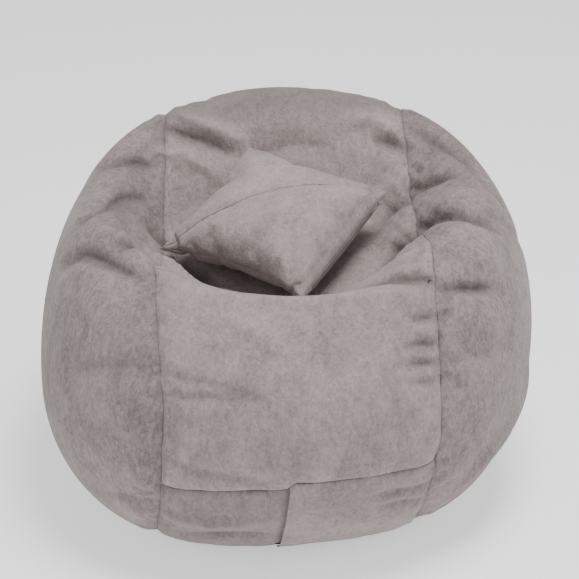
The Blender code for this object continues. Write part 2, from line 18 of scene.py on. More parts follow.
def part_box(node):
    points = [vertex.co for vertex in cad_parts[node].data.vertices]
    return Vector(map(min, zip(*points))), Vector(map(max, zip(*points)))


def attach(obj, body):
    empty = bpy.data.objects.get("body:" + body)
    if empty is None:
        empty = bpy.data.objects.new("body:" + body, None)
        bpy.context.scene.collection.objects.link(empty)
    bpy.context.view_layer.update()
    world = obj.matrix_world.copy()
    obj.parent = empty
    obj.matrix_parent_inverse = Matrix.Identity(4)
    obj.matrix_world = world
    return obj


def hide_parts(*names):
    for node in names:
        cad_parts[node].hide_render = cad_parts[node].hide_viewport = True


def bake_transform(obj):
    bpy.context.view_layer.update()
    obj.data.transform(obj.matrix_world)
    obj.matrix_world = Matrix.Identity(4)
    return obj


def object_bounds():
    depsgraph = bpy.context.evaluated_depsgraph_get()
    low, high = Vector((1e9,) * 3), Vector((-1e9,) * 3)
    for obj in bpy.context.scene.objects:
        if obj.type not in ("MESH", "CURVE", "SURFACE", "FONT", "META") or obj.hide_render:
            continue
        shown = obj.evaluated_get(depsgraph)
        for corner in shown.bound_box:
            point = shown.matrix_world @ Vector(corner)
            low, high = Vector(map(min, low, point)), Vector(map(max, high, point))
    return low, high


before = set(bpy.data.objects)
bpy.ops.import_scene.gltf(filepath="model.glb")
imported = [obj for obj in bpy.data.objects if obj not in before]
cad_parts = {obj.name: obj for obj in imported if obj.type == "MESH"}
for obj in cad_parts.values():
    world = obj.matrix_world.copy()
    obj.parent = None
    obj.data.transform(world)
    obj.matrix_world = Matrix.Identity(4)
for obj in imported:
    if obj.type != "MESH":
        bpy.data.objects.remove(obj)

cad_box = [list(corner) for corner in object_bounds()]
print("The solids fill", [round(high - low, 3) for low, high in zip(*cad_box)], "metres")

# %% [markdown]
# ## Camera, floor and light
# A product picture of furniture is taken with a long lens from about head height, in front of a pale sweep.
# The camera could be placed by eye, but a direction, a distance and a point to look at are easier to adjust.

# %% The camera
CAMERA_ELEVATION, CAMERA_AZIMUTH = math.radians(30.3), math.radians(-2.4)
CAMERA_DISTANCE = 3.42
LENS = 111.7
LOOK_AT = Vector((0.009, 0.028, 0.378))

target = Vector((0, 0, 0.33))
away = Vector((math.sin(CAMERA_AZIMUTH) * math.cos(CAMERA_ELEVATION),
               -math.cos(CAMERA_AZIMUTH) * math.cos(CAMERA_ELEVATION), math.sin(CAMERA_ELEVATION)))
camera = bpy.data.objects.new("camera", bpy.data.cameras.new("camera"))
bpy.context.scene.collection.objects.link(camera)
camera.data.lens = LENS
camera.location = target + away * CAMERA_DISTANCE
camera.rotation_euler = (camera.location - LOOK_AT).to_track_quat("Z", "Y").to_euler()
bpy.context.scene.camera = camera
print("The camera stands at", [round(v, 2) for v in camera.location])


# %% Lights and a pale floor
def softbox(name, place, aim, size, power):
    """A large area light, which gives the soft edges of a studio's softbox."""
    data = bpy.data.lights.new(name, "AREA")
    data.shape = "DISK"
    data.size = size
    data.energy = power
    lamp = bpy.data.objects.new(name, data)
    bpy.context.scene.collection.objects.link(lamp)
    lamp.location = place
    lamp.rotation_euler = (Vector(place) - Vector(aim)).to_track_quat("Z", "Y").to_euler()
    return lamp


softbox("key_light", (0.4, -0.5, 3.2), (0, 0, 0.3), 1.2, 90)
softbox("left_fill", (-2.6, -1.4, 1.3), (0, 0, 0.3), 2.0, 14)
softbox("right_fill", (2.6, -1.0, 1.5), (0, 0, 0.3), 1.6, 8)
world = bpy.data.worlds.new("studio")
world.use_nodes = True
world.node_tree.nodes["Background"].inputs["Color"].default_value = (1.0, 1.0, 1.0, 1)
world.node_tree.nodes["Background"].inputs["Strength"].default_value = 0.52
bpy.context.scene.world = world

bpy.ops.mesh.primitive_plane_add(size=12, location=(0, 0, -0.0005))
floor = bpy.context.active_object
floor.name = "floor"


# %% [markdown]
# ## Writing materials as expressions
# A material is a graph of nodes. It could be wired by hand, but sums are easier to read as sums. Each value
# below wraps a socket, and its operators add the Math nodes.

# %% A value, and a look that collects nodes
class Value:
    """A number on its way through a material's nodes."""

    def __init__(self, look, socket):
        self.look, self.socket = look, socket

    def maths(self, operation, *terms):
        return self.look.value("ShaderNodeMath", {"operation": operation}, dict(enumerate(terms)))

    def __add__(self, other):
        return self.maths("ADD", self, other)

    def __sub__(self, other):
        return self.maths("SUBTRACT", self, other)

    def __rsub__(self, other):
        return self.maths("SUBTRACT", other, self)

    def __mul__(self, other):
        return self.maths("MULTIPLY", self, other)

    __radd__, __rmul__ = __add__, __mul__


class Look:
    """One material. Whatever is the same all over is set on the shader's own sockets."""

    def __init__(self, name, **fixed):
        self.material = bpy.data.materials.new(name)
        self.material.use_nodes = True
        self.tree = self.material.node_tree
        self.shader = self.tree.nodes["Principled BSDF"]
        for socket, value in fixed.items():
            self.shader.inputs[socket.replace("_", " ")].default_value = value
        self.place = self.add("ShaderNodeTexCoord").outputs["Object"]

    def add(self, kind, settings=None, inputs=None):
        node = self.tree.nodes.new(kind)
        for key, value in (settings or {}).items():
            setattr(node, key, value)
        for key, value in (inputs or {}).items():
            self.join(value, node.inputs[key])
        return node

    def join(self, value, socket):
        if isinstance(value, Value):
            self.tree.links.new(value.socket, socket)
        elif isinstance(value, bpy.types.NodeSocket):
            self.tree.links.new(value, socket)
        else:
            socket.default_value = value

    def value(self, kind, settings, inputs, output=0):
        return Value(self, self.add(kind, settings, inputs).outputs[output])

    def noise(self, scale, detail=2.0, distortion=0.0, stretch=(1, 1, 1)):
        turned = self.add("ShaderNodeMapping", None, {"Vector": self.place, "Scale": stretch})
        return self.value("ShaderNodeTexNoise", None, {
            "Vector": turned.outputs[0], "Scale": scale, "Detail": detail, "Distortion": distortion})

    def attribute(self, name):
        return Value(self, self.add("ShaderNodeAttribute", {"attribute_name": name}).outputs["Fac"])

    def ranged(self, value, low, high):
        """The value spread so that low becomes 0 and high becomes 1."""
        return self.value("ShaderNodeMapRange", {"clamp": True}, {0: value, 1: low, 2: high})

    def mix(self, factor, first, second):
        return self.value("ShaderNodeMix", {"data_type": "RGBA"}, {0: factor, 6: first, 7: second}, 2)

    def colour(self, value):
        self.join(value, self.shader.inputs["Base Color"])

    def roughness(self, value):
        self.join(value, self.shader.inputs["Roughness"])

    def bump(self, height, strength, distance):
        node = self.add("ShaderNodeBump", None,
                        {"Height": height, "Strength": strength, "Distance": distance})
        self.join(node.outputs[0], self.shader.inputs["Normal"])


def tint(red, green, blue, share=1.0):
    """A linear colour, as shares of one."""
    return (red * share, green * share, blue * share, 1)


# %% [markdown]
# ## Suede
# Brushed microsuede is a woven cloth whose surface is raised into a short nap. Where a hand has passed, the
# nap lies another way and looks lighter or darker, in patches with soft edges. Close up it is a fine felt of
# fibres. A flat colour would look like plastic, so the colour takes three sizes of noise: patches, strokes and
# fibres. The depth of each fold, stored on the mesh, gives painted shade in the valleys and a painted highlight
# on the ridges, and past a given distance back the colour darkens, which is painted shade on the back rim.

# %% The suede looks
def suede(name, colour, patch=0.50, sheen=0.22, rim_shade_from=9.0):
    """The last argument is the distance back from the middle, past which painted shade darkens the back rim."""
    look = Look(name, Sheen_Weight=sheen, Sheen_Roughness=0.4, Specular_IOR_Level=0.10)
    look.shader.inputs["Sheen Tint"].default_value = tint(0.95, 0.93, 0.92)
    patches = look.ranged(look.noise(7.0, 4.0, 1.2), 0.34, 0.66)
    strokes = look.ranged(look.noise(46.0, 4.0, 1.6, (1, 1, 0.38)), 0.34, 0.66)
    grain = look.ranged(look.noise(170.0, 4.0, 0.8, (1, 1, 0.7)), 0.33, 0.67)
    fibres = look.ranged(look.noise(620.0, 2.0, 0.0, (1, 1, 0.5)), 0.3, 0.7)
    fold = look.attribute("fold")
    tone = patches * 0.26 + strokes * 0.24 + grain * 0.32 + fibres * 0.18
    plain = look.mix(tone, tint(*colour, 1 - patch), tint(*colour, 1 + patch))
    # Painted shade: deep folds darken towards 0.40 of the colour. Painted highlight: high folds lighten towards
    # 1.40 of it.
    valley = look.ranged(fold, 0.001, -0.013) * 0.55
    painted_ridge_highlight = look.ranged(fold, 0.001, 0.012) * 0.22
    shaded = look.mix(painted_ridge_highlight, look.mix(valley, plain, tint(*colour, 0.40)), tint(*colour, 1.40))
    # Painted shade: past the given distance back, the colour darkens towards 0.52 of itself, on the rim that
    # turns away from the light.
    back = look.value("ShaderNodeSeparateXYZ", None, {0: look.place}, 1)
    flat = look.ranged(back + patches * 0.02, rim_shade_from, rim_shade_from + 0.03) * 0.55
    look.colour(look.mix(flat, shaded, tint(*colour, 0.52)))
    look.roughness(0.86 + 0.10 * strokes)
    look.bump(grain * 0.5 + strokes * 0.5 + fibres * 0.5, 0.65, 0.0016)
    return look.material


# Painted shade: the side panels and the bands are the one suede made darker, 0.84 and 0.88 of it, and 0.74 for
# the left band, because they turn away from the key light.
SUEDE = (0.296, 0.250, 0.241)
centre_suede = suede("centre_suede", SUEDE, rim_shade_from=0.238)
shaded_side_suede = suede("shaded_side_suede", tuple(0.84 * v for v in SUEDE), patch=0.62)
shaded_band_suede = suede("shaded_band_suede", tuple(0.88 * v for v in SUEDE))
shaded_left_band_suede = suede("shaded_left_band_suede", tuple(0.74 * v for v in SUEDE))
cushion_suede = suede("cushion_suede", tuple(1.06 * v for v in SUEDE), patch=0.42)
print("Suede looks:", [m.name for m in (centre_suede, shaded_side_suede, shaded_band_suede, cushion_suede)])


# %% [markdown]
# ## The plainer cloths, foam and metal
# The base is a dark non-slip cloth, the liner and the cushion's casing are thin plain weaves, and the zips
# have woven tapes with dull nickel sliders. A weave needs no picture: two waves at right angles will do.

# %% The other looks
def woven(name, colour, pitch, contrast=0.35, roughness=0.85):
    look = Look(name, Sheen_Weight=0.15, Specular_IOR_Level=0.2)
    lanes = [look.value("ShaderNodeTexWave", {"wave_type": "BANDS", "bands_direction": way},
                        {"Vector": look.place, "Scale": 0.314 / pitch, "Distortion": 0.4, "Detail": 1.0}, 1)
             for way in ("X", "Y", "Z")]
    weave = (lanes[0] + lanes[1] + lanes[2]) * 0.333
    worn = look.ranged(look.noise(22.0, 3.0, 0.5), 0.3, 0.7)
    tone = weave * 0.7 + worn * 0.3
    look.colour(look.mix(tone, tint(*colour, 1 - contrast), tint(*colour, 1 + contrast)))
    look.roughness(roughness - 0.1 * worn)
    look.bump(weave, 0.6, pitch * 0.35)
    return look.material


def foam_beads():
    look = Look("bead_foam", Specular_IOR_Level=0.3, Subsurface_Weight=0.0)
    cells = look.value("ShaderNodeTexVoronoi", None, {"Vector": look.place, "Scale": 260.0}, 0)
    # Each cell is lightest at its point and darker towards its edges: painted shade between the beads.
    look.colour(look.mix(look.ranged(cells, 0.0, 0.7), tint(0.86, 0.86, 0.85), tint(0.55, 0.55, 0.54)))
    look.roughness(0.65 + 0.2 * cells)
    look.bump(1 - cells, 0.8, 0.0015)
    return look.material


def fibre_wool():
    look = Look("fibre_wool", Sheen_Weight=0.4, Specular_IOR_Level=0.1)
    curl = look.noise(160.0, 5.0, 3.0)
    look.colour(look.mix(curl, tint(0.62, 0.62, 0.60), tint(0.90, 0.90, 0.88)))
    look.roughness(0.85 + 0.1 * curl)
    look.bump(curl, 0.9, 0.003)
    return look.material


def nickel():
    look = Look("dull_nickel", Metallic=1.0, Specular_IOR_Level=0.5)
    brushed = look.noise(900.0, 2.0, 0.0, (1, 0.1, 1))
    rubbed = look.ranged(look.noise(140.0, 3.0, 0.4), 0.35, 0.7)
    look.colour(look.mix(rubbed, tint(0.40, 0.39, 0.37), tint(0.62, 0.61, 0.59)))
    look.roughness(0.28 + 0.14 * brushed + 0.10 * rubbed)
    look.bump(brushed, 0.25, 0.0001)
    return look.material


def floor_paper():
    look = Look("floor_paper", Specular_IOR_Level=0.1, Emission_Strength=0.7)
    look.shader.inputs["Emission Color"].default_value = tint(1, 1, 1)
    look.colour(look.mix(look.noise(3.0, 2.0), tint(0.90, 0.90, 0.90), tint(0.93, 0.93, 0.93)))
    look.roughness(0.9)
    return look.material


base_cloth = woven("base_cloth", (0.020, 0.020, 0.022), 0.0012)
liner_cloth = woven("liner_cloth", (0.62, 0.62, 0.60), 0.0008, 0.12)
casing_cloth = woven("casing_cloth", (0.72, 0.71, 0.69), 0.0010, 0.08)
tape_cloth = woven("tape_cloth", (0.20, 0.175, 0.17), 0.0007, 0.25)
dark_tape_cloth = woven("dark_tape_cloth", (0.022, 0.022, 0.022), 0.0007, 0.3)
thread = woven("thread", (0.27, 0.235, 0.225), 0.0004, 0.3, 0.7)
beads, wool, metal = foam_beads(), fibre_wool(), nickel()
floor.data.materials.append(floor_paper())


# %% [markdown]
# ## The form of the bag
# A filled bag stands on a flat patch, swells to a belly, turns over a soft rim and dips into the seat. It is
# one smooth surface with two numbers for each point: the azimuth round the bag, and the run up its side from
# the middle of the base to the middle of the seat. It could be sculpted, but a formula keeps the cloth on the
# solids. The sizes are the solids' own.

# %% The sizes
BAG_WIDTH, BAG_DEPTH = cad_box[1][0] - cad_box[0][0], cad_box[1][1] - cad_box[0][1]
BASE_WIDTH, BASE_DEPTH, BASE_SHIFT_BACK = 0.630, 0.595, 0.045
FRONT_RIM_HEIGHT, BACK_RIM_HEIGHT = 0.524, cad_box[1][2]
LEFT_RIM_HEIGHT, RIGHT_RIM_HEIGHT = 0.590, 0.615
RIM_WIDTH, RIM_FRONT_REACH, RIM_BACK_REACH = 0.635, 0.265, 0.280
BELLY_HEIGHT = 0.287
SEAT_HEIGHT, SEAT_SLOPE_BACK, SEAT_SLOPE_RIGHT = 0.460, 0.20, 0.10
SEAT_WALL_SHARE, RIM_ROLL_SHARE = 0.50, 0.12
BELLY_FULLNESS = (1.000, 1.024, 1.000, 1.015, 1.000, 1.040, 1.000, 1.013)
BELLY_LIFT = (1.11, 1.07, 1.03, 0.98, 0.82, 0.93, 1.03, 1.05)
BASE_FULLNESS = (1.02, 1.01, 1.02, 1.01, 0.98, 1.04, 0.97, 0.98)
RIM_FULLNESS = (1.00, 1.17, 1.00, 1.17, 1.00, 1.07, 1.00, 1.10)
UNDERCUT = (1.86, 1.83, 1.82, 1.84, 1.94, 1.90, 1.68, 1.83)

CUSHION_SIDE, CUSHION_THICKNESS = 0.300, 0.114
CUSHION_PLACE, CUSHION_CLEARANCE = (-0.017, 0.000), 0.009
CUSHION_RIGHTWARD, CUSHION_UPWARD = (0.972, 0.140, 0.183), (-0.183, 0.950, 0.246)
PRINT_DEPTH, PRINT_FLARE, CROWN_POWER, CORNER_SQUARENESS = 0.030, 0.9, 0.8, 5

LEFT_SEAM_X, RIGHT_SEAM_X = -0.235, 0.260
BASE_SEAM_HEIGHT, BAND_HEIGHT = 0.011, 0.245
COVER_THICKNESS = 0.002
FOLD_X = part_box("closure_flap")[1][0]


# %% The surface formula
def smooth_step(low, high, value):
    share = np.clip((value - low) / (high - low), 0, 1)
    return share * share * (3 - 2 * share)


def smooth_min(a, b, width):
    share = np.clip(0.5 + 0.5 * (b - a) / width, 0, 1)
    return b + (a - b) * share - width * share * (1 - share)


def round_the_bag(ratios, azimuth):
    """A smooth closed curve through values at evenly spaced azimuths."""
    count, values = len(ratios), np.asarray(ratios)
    place = (azimuth % (2 * math.pi)) / (2 * math.pi) * count
    first = np.floor(place).astype(int)
    f = place - first
    before, here, there, after = (values[(first + k) % count] for k in (-1, 0, 1, 2))
    bend = 2 * before - 5 * here + 4 * there - after
    twist = 3 * (here - there) + after - before
    return 0.5 * (2 * here + (there - before) * f + bend * f**2 + twist * f**3)


def ellipse_reach(azimuth, right, back, front):
    depth = np.where(np.sin(azimuth) < 0, front, back)
    return 1 / np.sqrt((np.cos(azimuth) / right) ** 2 + (np.sin(azimuth) / depth) ** 2)


def cushion_axes():
    right, upward = Vector(CUSHION_RIGHTWARD).normalized(), Vector(CUSHION_UPWARD)
    upward = (upward - right * upward.dot(right)).normalized()
    along, across = (right + upward).normalized(), (upward - right).normalized()
    return along, across, along.cross(across)


def cushion_matrix():
    x, y = CUSHION_PLACE
    seat = SEAT_HEIGHT + SEAT_SLOPE_BACK * y + SEAT_SLOPE_RIGHT * x
    z = seat + CUSHION_THICKNESS / 2 + CUSHION_CLEARANCE + PRINT_DEPTH / 2
    return Matrix.Translation((x, y, z)) @ Matrix(cushion_axes()).transposed().to_4x4()


def under_cushion(x, y):
    """The highest the seat may stand at a point, so that the cushion lies in its own print."""
    along, across, normal = (np.array(axis) for axis in cushion_axes())
    centre = np.array(cushion_matrix().translation)
    plane = centre[2] - (normal[0] * (x - centre[0]) + normal[1] * (y - centre[1])) / normal[2]
    offset = np.stack([x, y, plane], -1) - centre
    half = CUSHION_SIDE / 2 + CUSHION_CLEARANCE
    u, v = offset @ along / half, offset @ across / half
    power = CORNER_SQUARENESS
    reach = (np.abs(u) ** power + np.abs(v) ** power) ** (1 / power)
    crown = np.sqrt(np.clip(1 - u**2, 0, 1) * np.clip(1 - v**2, 0, 1)) ** CROWN_POWER
    beyond = np.clip(reach - 1, 0, None) * half * PRINT_FLARE
    return plane - CUSHION_THICKNESS / 2 * crown - CUSHION_CLEARANCE + beyond


def rim_height(azimuth):
    across = np.where(np.cos(azimuth) > 0, RIGHT_RIM_HEIGHT, LEFT_RIM_HEIGHT)
    along = np.where(np.sin(azimuth) > 0, BACK_RIM_HEIGHT, FRONT_RIM_HEIGHT)
    return across * np.cos(azimuth) ** 2 + along * np.sin(azimuth) ** 2


def bag_points(azimuth, run):
    """Run goes from -1 at the middle of the base by 0 at the edge of its flat part, 1 at the belly and 2 at
    the rim to 3 in the middle of the seat."""
    belly = ellipse_reach(azimuth, BAG_WIDTH / 2, BAG_DEPTH / 2, BAG_DEPTH / 2)
    belly = belly * round_the_bag(BELLY_FULLNESS, azimuth)
    belly_height = BELLY_HEIGHT * round_the_bag(BELLY_LIFT, azimuth)
    base = ellipse_reach(azimuth, BASE_WIDTH / 2, BASE_DEPTH / 2, BASE_DEPTH / 2)
    base = base * round_the_bag(BASE_FULLNESS, azimuth)
    rim = ellipse_reach(azimuth, RIM_WIDTH / 2, RIM_BACK_REACH, RIM_FRONT_REACH)
    rim = rim * round_the_bag(RIM_FULLNESS, azimuth)
    top, undercut = rim_height(azimuth), round_the_bag(UNDERCUT, azimuth)

    low = np.clip(run, 0, 1) * math.pi / 2
    high = np.clip(run - 1, 0, 1) * math.pi / 2
    seat = np.clip(run - 2, 0, 1)
    spread = np.sin(low) ** (2 / undercut)
    reach = np.where(run <= 1, base + (belly - base) * spread, rim + (belly - rim) * np.cos(high))
    reach = np.where(run < 0, base * (1 + run), reach)
    reach = np.where(run > 2, rim * (1 - seat), reach)
    x = reach * np.cos(azimuth)
    y = reach * np.sin(azimuth) + BASE_SHIFT_BACK * (1 - spread)

    lower = belly_height * (1 - np.cos(low) ** (2 / undercut))
    upper = belly_height + (top - belly_height) * np.sin(high)
    hollow = SEAT_HEIGHT + SEAT_SLOPE_BACK * y + SEAT_SLOPE_RIGHT * x
    hollow = hollow + (top - hollow) * (1 - smooth_step(0, SEAT_WALL_SHARE, seat))
    hollow = smooth_min(hollow, under_cushion(x, y), PRINT_DEPTH)
    hollow = top + (hollow - top) * smooth_step(0, RIM_ROLL_SHARE, seat)
    return np.stack([x, y, np.where(run <= 1, lower, np.where(run <= 2, upper, hollow))], -1)


# %% [markdown]
# ## From formula to mesh
# The formula is read on a grid, then remeshed into even squares, because cloth simulation needs cells of one
# size. A few small helpers read and write the points as arrays, which is far quicker than one at a time.

# %% Mesh helpers
def add_piece(name, mesh):
    made = bpy.data.objects.new(name, mesh)
    bpy.context.scene.collection.objects.link(made)
    return made


def points_of(mesh):
    flat = np.empty(len(mesh.vertices) * 3, np.float32)
    mesh.vertices.foreach_get("co", flat)
    return flat.reshape(-1, 3).astype(float)


def normals_of(mesh):
    flat = np.empty(len(mesh.vertices) * 3, np.float32)
    mesh.vertex_normals.foreach_get("vector", flat)
    return flat.reshape(-1, 3).astype(float)


def set_points(mesh, points):
    mesh.vertices.foreach_set("co", np.ascontiguousarray(points, np.float32).reshape(-1))
    mesh.update()


def baked(piece):
    """The piece's mesh with its modifiers applied, in place of the old mesh."""
    graph = bpy.context.evaluated_depsgraph_get()
    made = bpy.data.meshes.new_from_object(piece.evaluated_get(graph))
    piece.modifiers.clear()
    piece.data = made
    return made


def remeshed(piece, size):
    made = piece.modifiers.new("even", "REMESH")
    made.mode = "VOXEL"
    made.voxel_size = size
    return baked(piece)


def subdivided(piece, levels=1):
    made = piece.modifiers.new("finer", "SUBSURF")
    made.levels = made.render_levels = levels
    return baked(piece)


def face_outwards(bm):
    bmesh.ops.recalc_face_normals(bm, faces=bm.faces)
    if bm.calc_volume(signed=True) < 0:
        bmesh.ops.reverse_faces(bm, faces=bm.faces)


def bag_form(azimuth_steps, run_step):
    """The whole bag as one closed mesh."""
    runs = np.arange(-1 + run_step, 3 - run_step / 2, run_step)
    azimuths = np.arange(azimuth_steps) * 2 * math.pi / azimuth_steps
    run, azimuth = np.meshgrid(runs, azimuths, indexing="ij")
    bm = bmesh.new()
    rings = [[bm.verts.new(point) for point in row] for row in bag_points(azimuth, run)]
    middles = [bm.verts.new(bag_points(np.zeros(1), np.full(1, end))[0]) for end in (-1.0, 3.0)]
    for i in range(azimuth_steps):
        j = (i + 1) % azimuth_steps
        for lower, upper in zip(rings, rings[1:]):
            bm.faces.new((lower[i], lower[j], upper[j], upper[i]))
        bm.faces.new((middles[0], rings[0][j], rings[0][i]))
        bm.faces.new((middles[1], rings[-1][i], rings[-1][j]))
    face_outwards(bm)
    mesh = bpy.data.meshes.new("bag_form")
    bm.to_mesh(mesh)
    bm.free()
    return mesh


BAG_CELL = 0.0098
bag = add_piece("bag_form", bag_form(144, 0.035))
remeshed(bag, BAG_CELL)
print("The bag's skin has", len(bag.data.vertices), "points")


# %% [markdown]
# ## Folds
# The beads have settled, so the cloth is too big in places and folds: a roll behind the front rim, long soft
# folds down the side panels, gathers where the side seams pinch, and shallow dents over the front. Each fold
# is a short path over the bag with a height, which is below zero for a valley, and a width. Folds could be left
# to the simulation alone, but then they would fall anywhere.

# %% The folds, left to right as one faces the bag
FOLDS = (
    # The rolls and dark gaps round the seat
    (((-0.24, -0.24, 0.552), (-0.12, -0.27, 0.535), (0.02, -0.28, 0.527), (0.16, -0.284, 0.540),
      (0.25, -0.292, 0.530)), 0.012, 0.014),
    (((0.00, -0.240, 0.515), (0.08, -0.240, 0.525), (0.16, -0.245, 0.540),
      (0.25, -0.257, 0.545)), -0.018, 0.011),
    (((-0.24, -0.19, 0.550), (-0.16, -0.21, 0.530), (-0.06, -0.23, 0.515)), -0.012, 0.011),
    (((0.22, -0.160, 0.555), (0.17, -0.15, 0.530), (0.09, -0.18, 0.500)), 0.012, 0.026),
    (((0.24, -0.060, 0.560), (0.18, -0.04, 0.510), (0.15, -0.09, 0.490),
      (0.11, -0.13, 0.480)), -0.026, 0.014),
    (((-0.24, -0.05, 0.510), (-0.19, -0.08, 0.490), (-0.12, -0.15, 0.480),
      (-0.05, -0.19, 0.490)), 0.018, 0.016),
    (((-0.20, -0.12, 0.495), (-0.15, -0.17, 0.495), (-0.08, -0.205, 0.500)), -0.016, 0.012),
    (((-0.24, 0.03, 0.520), (-0.19, 0.02, 0.475), (-0.13, -0.07, 0.460)), -0.018, 0.014),
    (((0.23, 0.06, 0.570), (0.19, 0.07, 0.530), (0.16, 0.05, 0.510)), -0.012, 0.012),
    (((0.24, 0.11, 0.590), (0.19, 0.11, 0.540), (0.15, 0.11, 0.520)), 0.012, 0.020),
    # The seat's back
    (((-0.23, 0.26, 0.640), (-0.17, 0.245, 0.632), (-0.12, 0.235, 0.616),
      (-0.07, 0.22, 0.600)), 0.011, 0.016),
    (((-0.23, 0.235, 0.625), (-0.15, 0.22, 0.600), (-0.09, 0.20, 0.575)), -0.011, 0.015),
    (((-0.23, 0.19, 0.596), (-0.19, 0.20, 0.581), (-0.14, 0.195, 0.552),
      (-0.11, 0.18, 0.527)), 0.009, 0.014),
    (((0.12, 0.235, 0.630), (0.17, 0.236, 0.635), (0.24, 0.20, 0.625)), 0.008, 0.016),
    (((0.17, 0.20, 0.605), (0.20, 0.195, 0.602), (0.235, 0.167, 0.600)), -0.012, 0.014),
    (((-0.06, 0.20, 0.575), (0.02, 0.215, 0.590), (0.10, 0.205, 0.590)), -0.006, 0.025),
    # The left side panel
    (((-0.34, 0.13, 0.600), (-0.28, 0.155, 0.590), (-0.23, 0.17, 0.577)), -0.010, 0.013),
    (((-0.38, -0.04, 0.560), (-0.32, -0.01, 0.585), (-0.27, 0.06, 0.575),
      (-0.23, 0.09, 0.560)), -0.012, 0.014),
    (((-0.42, -0.09, 0.500), (-0.36, -0.12, 0.545), (-0.30, -0.19, 0.555),
      (-0.24, -0.24, 0.552)), -0.013, 0.015),
    (((-0.36, -0.06, 0.560), (-0.30, -0.11, 0.575), (-0.26, -0.15, 0.560)), 0.007, 0.018),
    (((-0.30, -0.15, 0.570), (-0.27, -0.13, 0.560), (-0.235, -0.09, 0.520)), -0.016, 0.012),
    (((-0.43, 0.10, 0.440), (-0.36, 0.14, 0.540)), -0.007, 0.022),
    (((-0.40, -0.24, 0.380), (-0.33, -0.30, 0.420), (-0.25, -0.34, 0.440)), -0.006, 0.022),
    (((-0.36, -0.24, 0.130), (-0.30, -0.32, 0.170), (-0.25, -0.36, 0.200)), -0.006, 0.020),
    (((-0.30, -0.30, 0.080), (-0.27, -0.34, 0.160), (-0.26, -0.37, 0.240)), 0.005, 0.020),
    # The right side panel
    (((0.24, 0.21, 0.635), (0.29, 0.156, 0.629), (0.34, 0.098, 0.615), (0.38, 0.07, 0.590)), -0.010, 0.013),
    (((0.33, 0.09, 0.618), (0.38, 0.02, 0.585), (0.42, 0.00, 0.530)), -0.008, 0.014),
    (((0.235, 0.083, 0.560), (0.27, 0.056, 0.593), (0.32, 0.04, 0.612)), -0.014, 0.012),
    (((0.23, -0.024, 0.536), (0.28, -0.09, 0.595), (0.33, -0.11, 0.592),
      (0.38, -0.10, 0.565)), -0.015, 0.014),
    (((0.26, -0.06, 0.580), (0.31, -0.04, 0.605), (0.38, -0.03, 0.580)), 0.008, 0.018),
    (((0.35, -0.085, 0.590), (0.42, -0.02, 0.520), (0.44, 0.03, 0.450)), -0.008, 0.016),
    (((0.26, -0.27, 0.540), (0.31, -0.25, 0.530), (0.37, -0.21, 0.505)), -0.011, 0.013),
    (((0.25, -0.31, 0.105), (0.33, -0.29, 0.180), (0.40, -0.21, 0.225),
      (0.44, -0.08, 0.260)), 0.010, 0.018),
    (((0.27, -0.27, 0.060), (0.35, -0.24, 0.120), (0.40, -0.14, 0.150)), -0.008, 0.018),
    (((0.40, -0.22, 0.400), (0.33, -0.30, 0.420), (0.27, -0.34, 0.450)), -0.005, 0.024),
    # The front
    (((-0.23, -0.36, 0.438), (-0.15, -0.39, 0.436), (-0.06, -0.411, 0.420)), -0.006, 0.012),
    (((-0.22, -0.38, 0.404), (-0.14, -0.40, 0.412), (-0.06, -0.411, 0.412)), -0.007, 0.011),
    (((-0.15, -0.295, 0.528), (-0.09, -0.338, 0.504), (-0.03, -0.375, 0.474)), -0.006, 0.016),
    (((-0.22, -0.40, 0.293), (-0.18, -0.418, 0.279), (-0.13, -0.431, 0.275),
      (-0.03, -0.44, 0.261)), -0.005, 0.013),
    (((0.19, -0.33, 0.512), (0.255, -0.312, 0.512)), -0.008, 0.010),
    (((0.19, -0.354, 0.478), (0.255, -0.337, 0.470)), -0.009, 0.010),
    (((0.18, -0.37, 0.450), (0.255, -0.350, 0.440)), -0.007, 0.009),
    (((0.19, -0.385, 0.422), (0.255, -0.365, 0.410)), -0.006, 0.009),
    # The band
    (((-0.23, -0.36, 0.150), (-0.13, -0.395, 0.150), (-0.03, -0.410, 0.165)), 0.006, 0.014),
    (((-0.20, -0.34, 0.105), (-0.12, -0.37, 0.115), (-0.04, -0.385, 0.120)), -0.006, 0.013),
    (((0.13, -0.409, 0.210), (0.20, -0.39, 0.202), (0.24, -0.366, 0.195)), -0.006, 0.010),
    (((0.15, -0.395, 0.175), (0.20, -0.375, 0.165), (0.235, -0.35, 0.150)), -0.006, 0.010),
    # The back
    (((-0.22, 0.36, 0.480), (-0.08, 0.405, 0.450), (0.06, 0.41, 0.460)), -0.007, 0.020),
    (((0.24, 0.37, 0.450), (0.12, 0.42, 0.400), (0.00, 0.43, 0.400)), -0.006, 0.022),
    (((0.34, 0.24, 0.560), (0.40, 0.17, 0.470), (0.43, 0.12, 0.380)), -0.008, 0.020),
    (((-0.34, 0.26, 0.540), (-0.39, 0.19, 0.430)), -0.008, 0.022),
    (((-0.20, 0.33, 0.130), (-0.05, 0.37, 0.140), (0.14, 0.36, 0.130)), -0.007, 0.018),
)


FOLD_STRENGTH = 1.3
CREASE_SHARE, CREASE_WIDTH = 0.24, 0.0055
PULLED_UNDER = 0.004
at_rest = points_of(bag.data)
form_tree = BVHTree.FromPolygons([Vector(p) for p in at_rest],
    [tuple(f.vertices) for f in bag.data.polygons])


def laid_on(tree, path):
    """The path in short steps, each on the surface below it."""
    steps = [Vector(a).lerp(Vector(b), k / 5) for a, b in zip(path, path[1:]) for k in range(5)]
    return [tuple(tree.find_nearest(place)[0]) for place in steps + [Vector(path[-1])]]


LAID_FOLDS = [(laid_on(form_tree, path), height, width) for path, height, width in FOLDS]


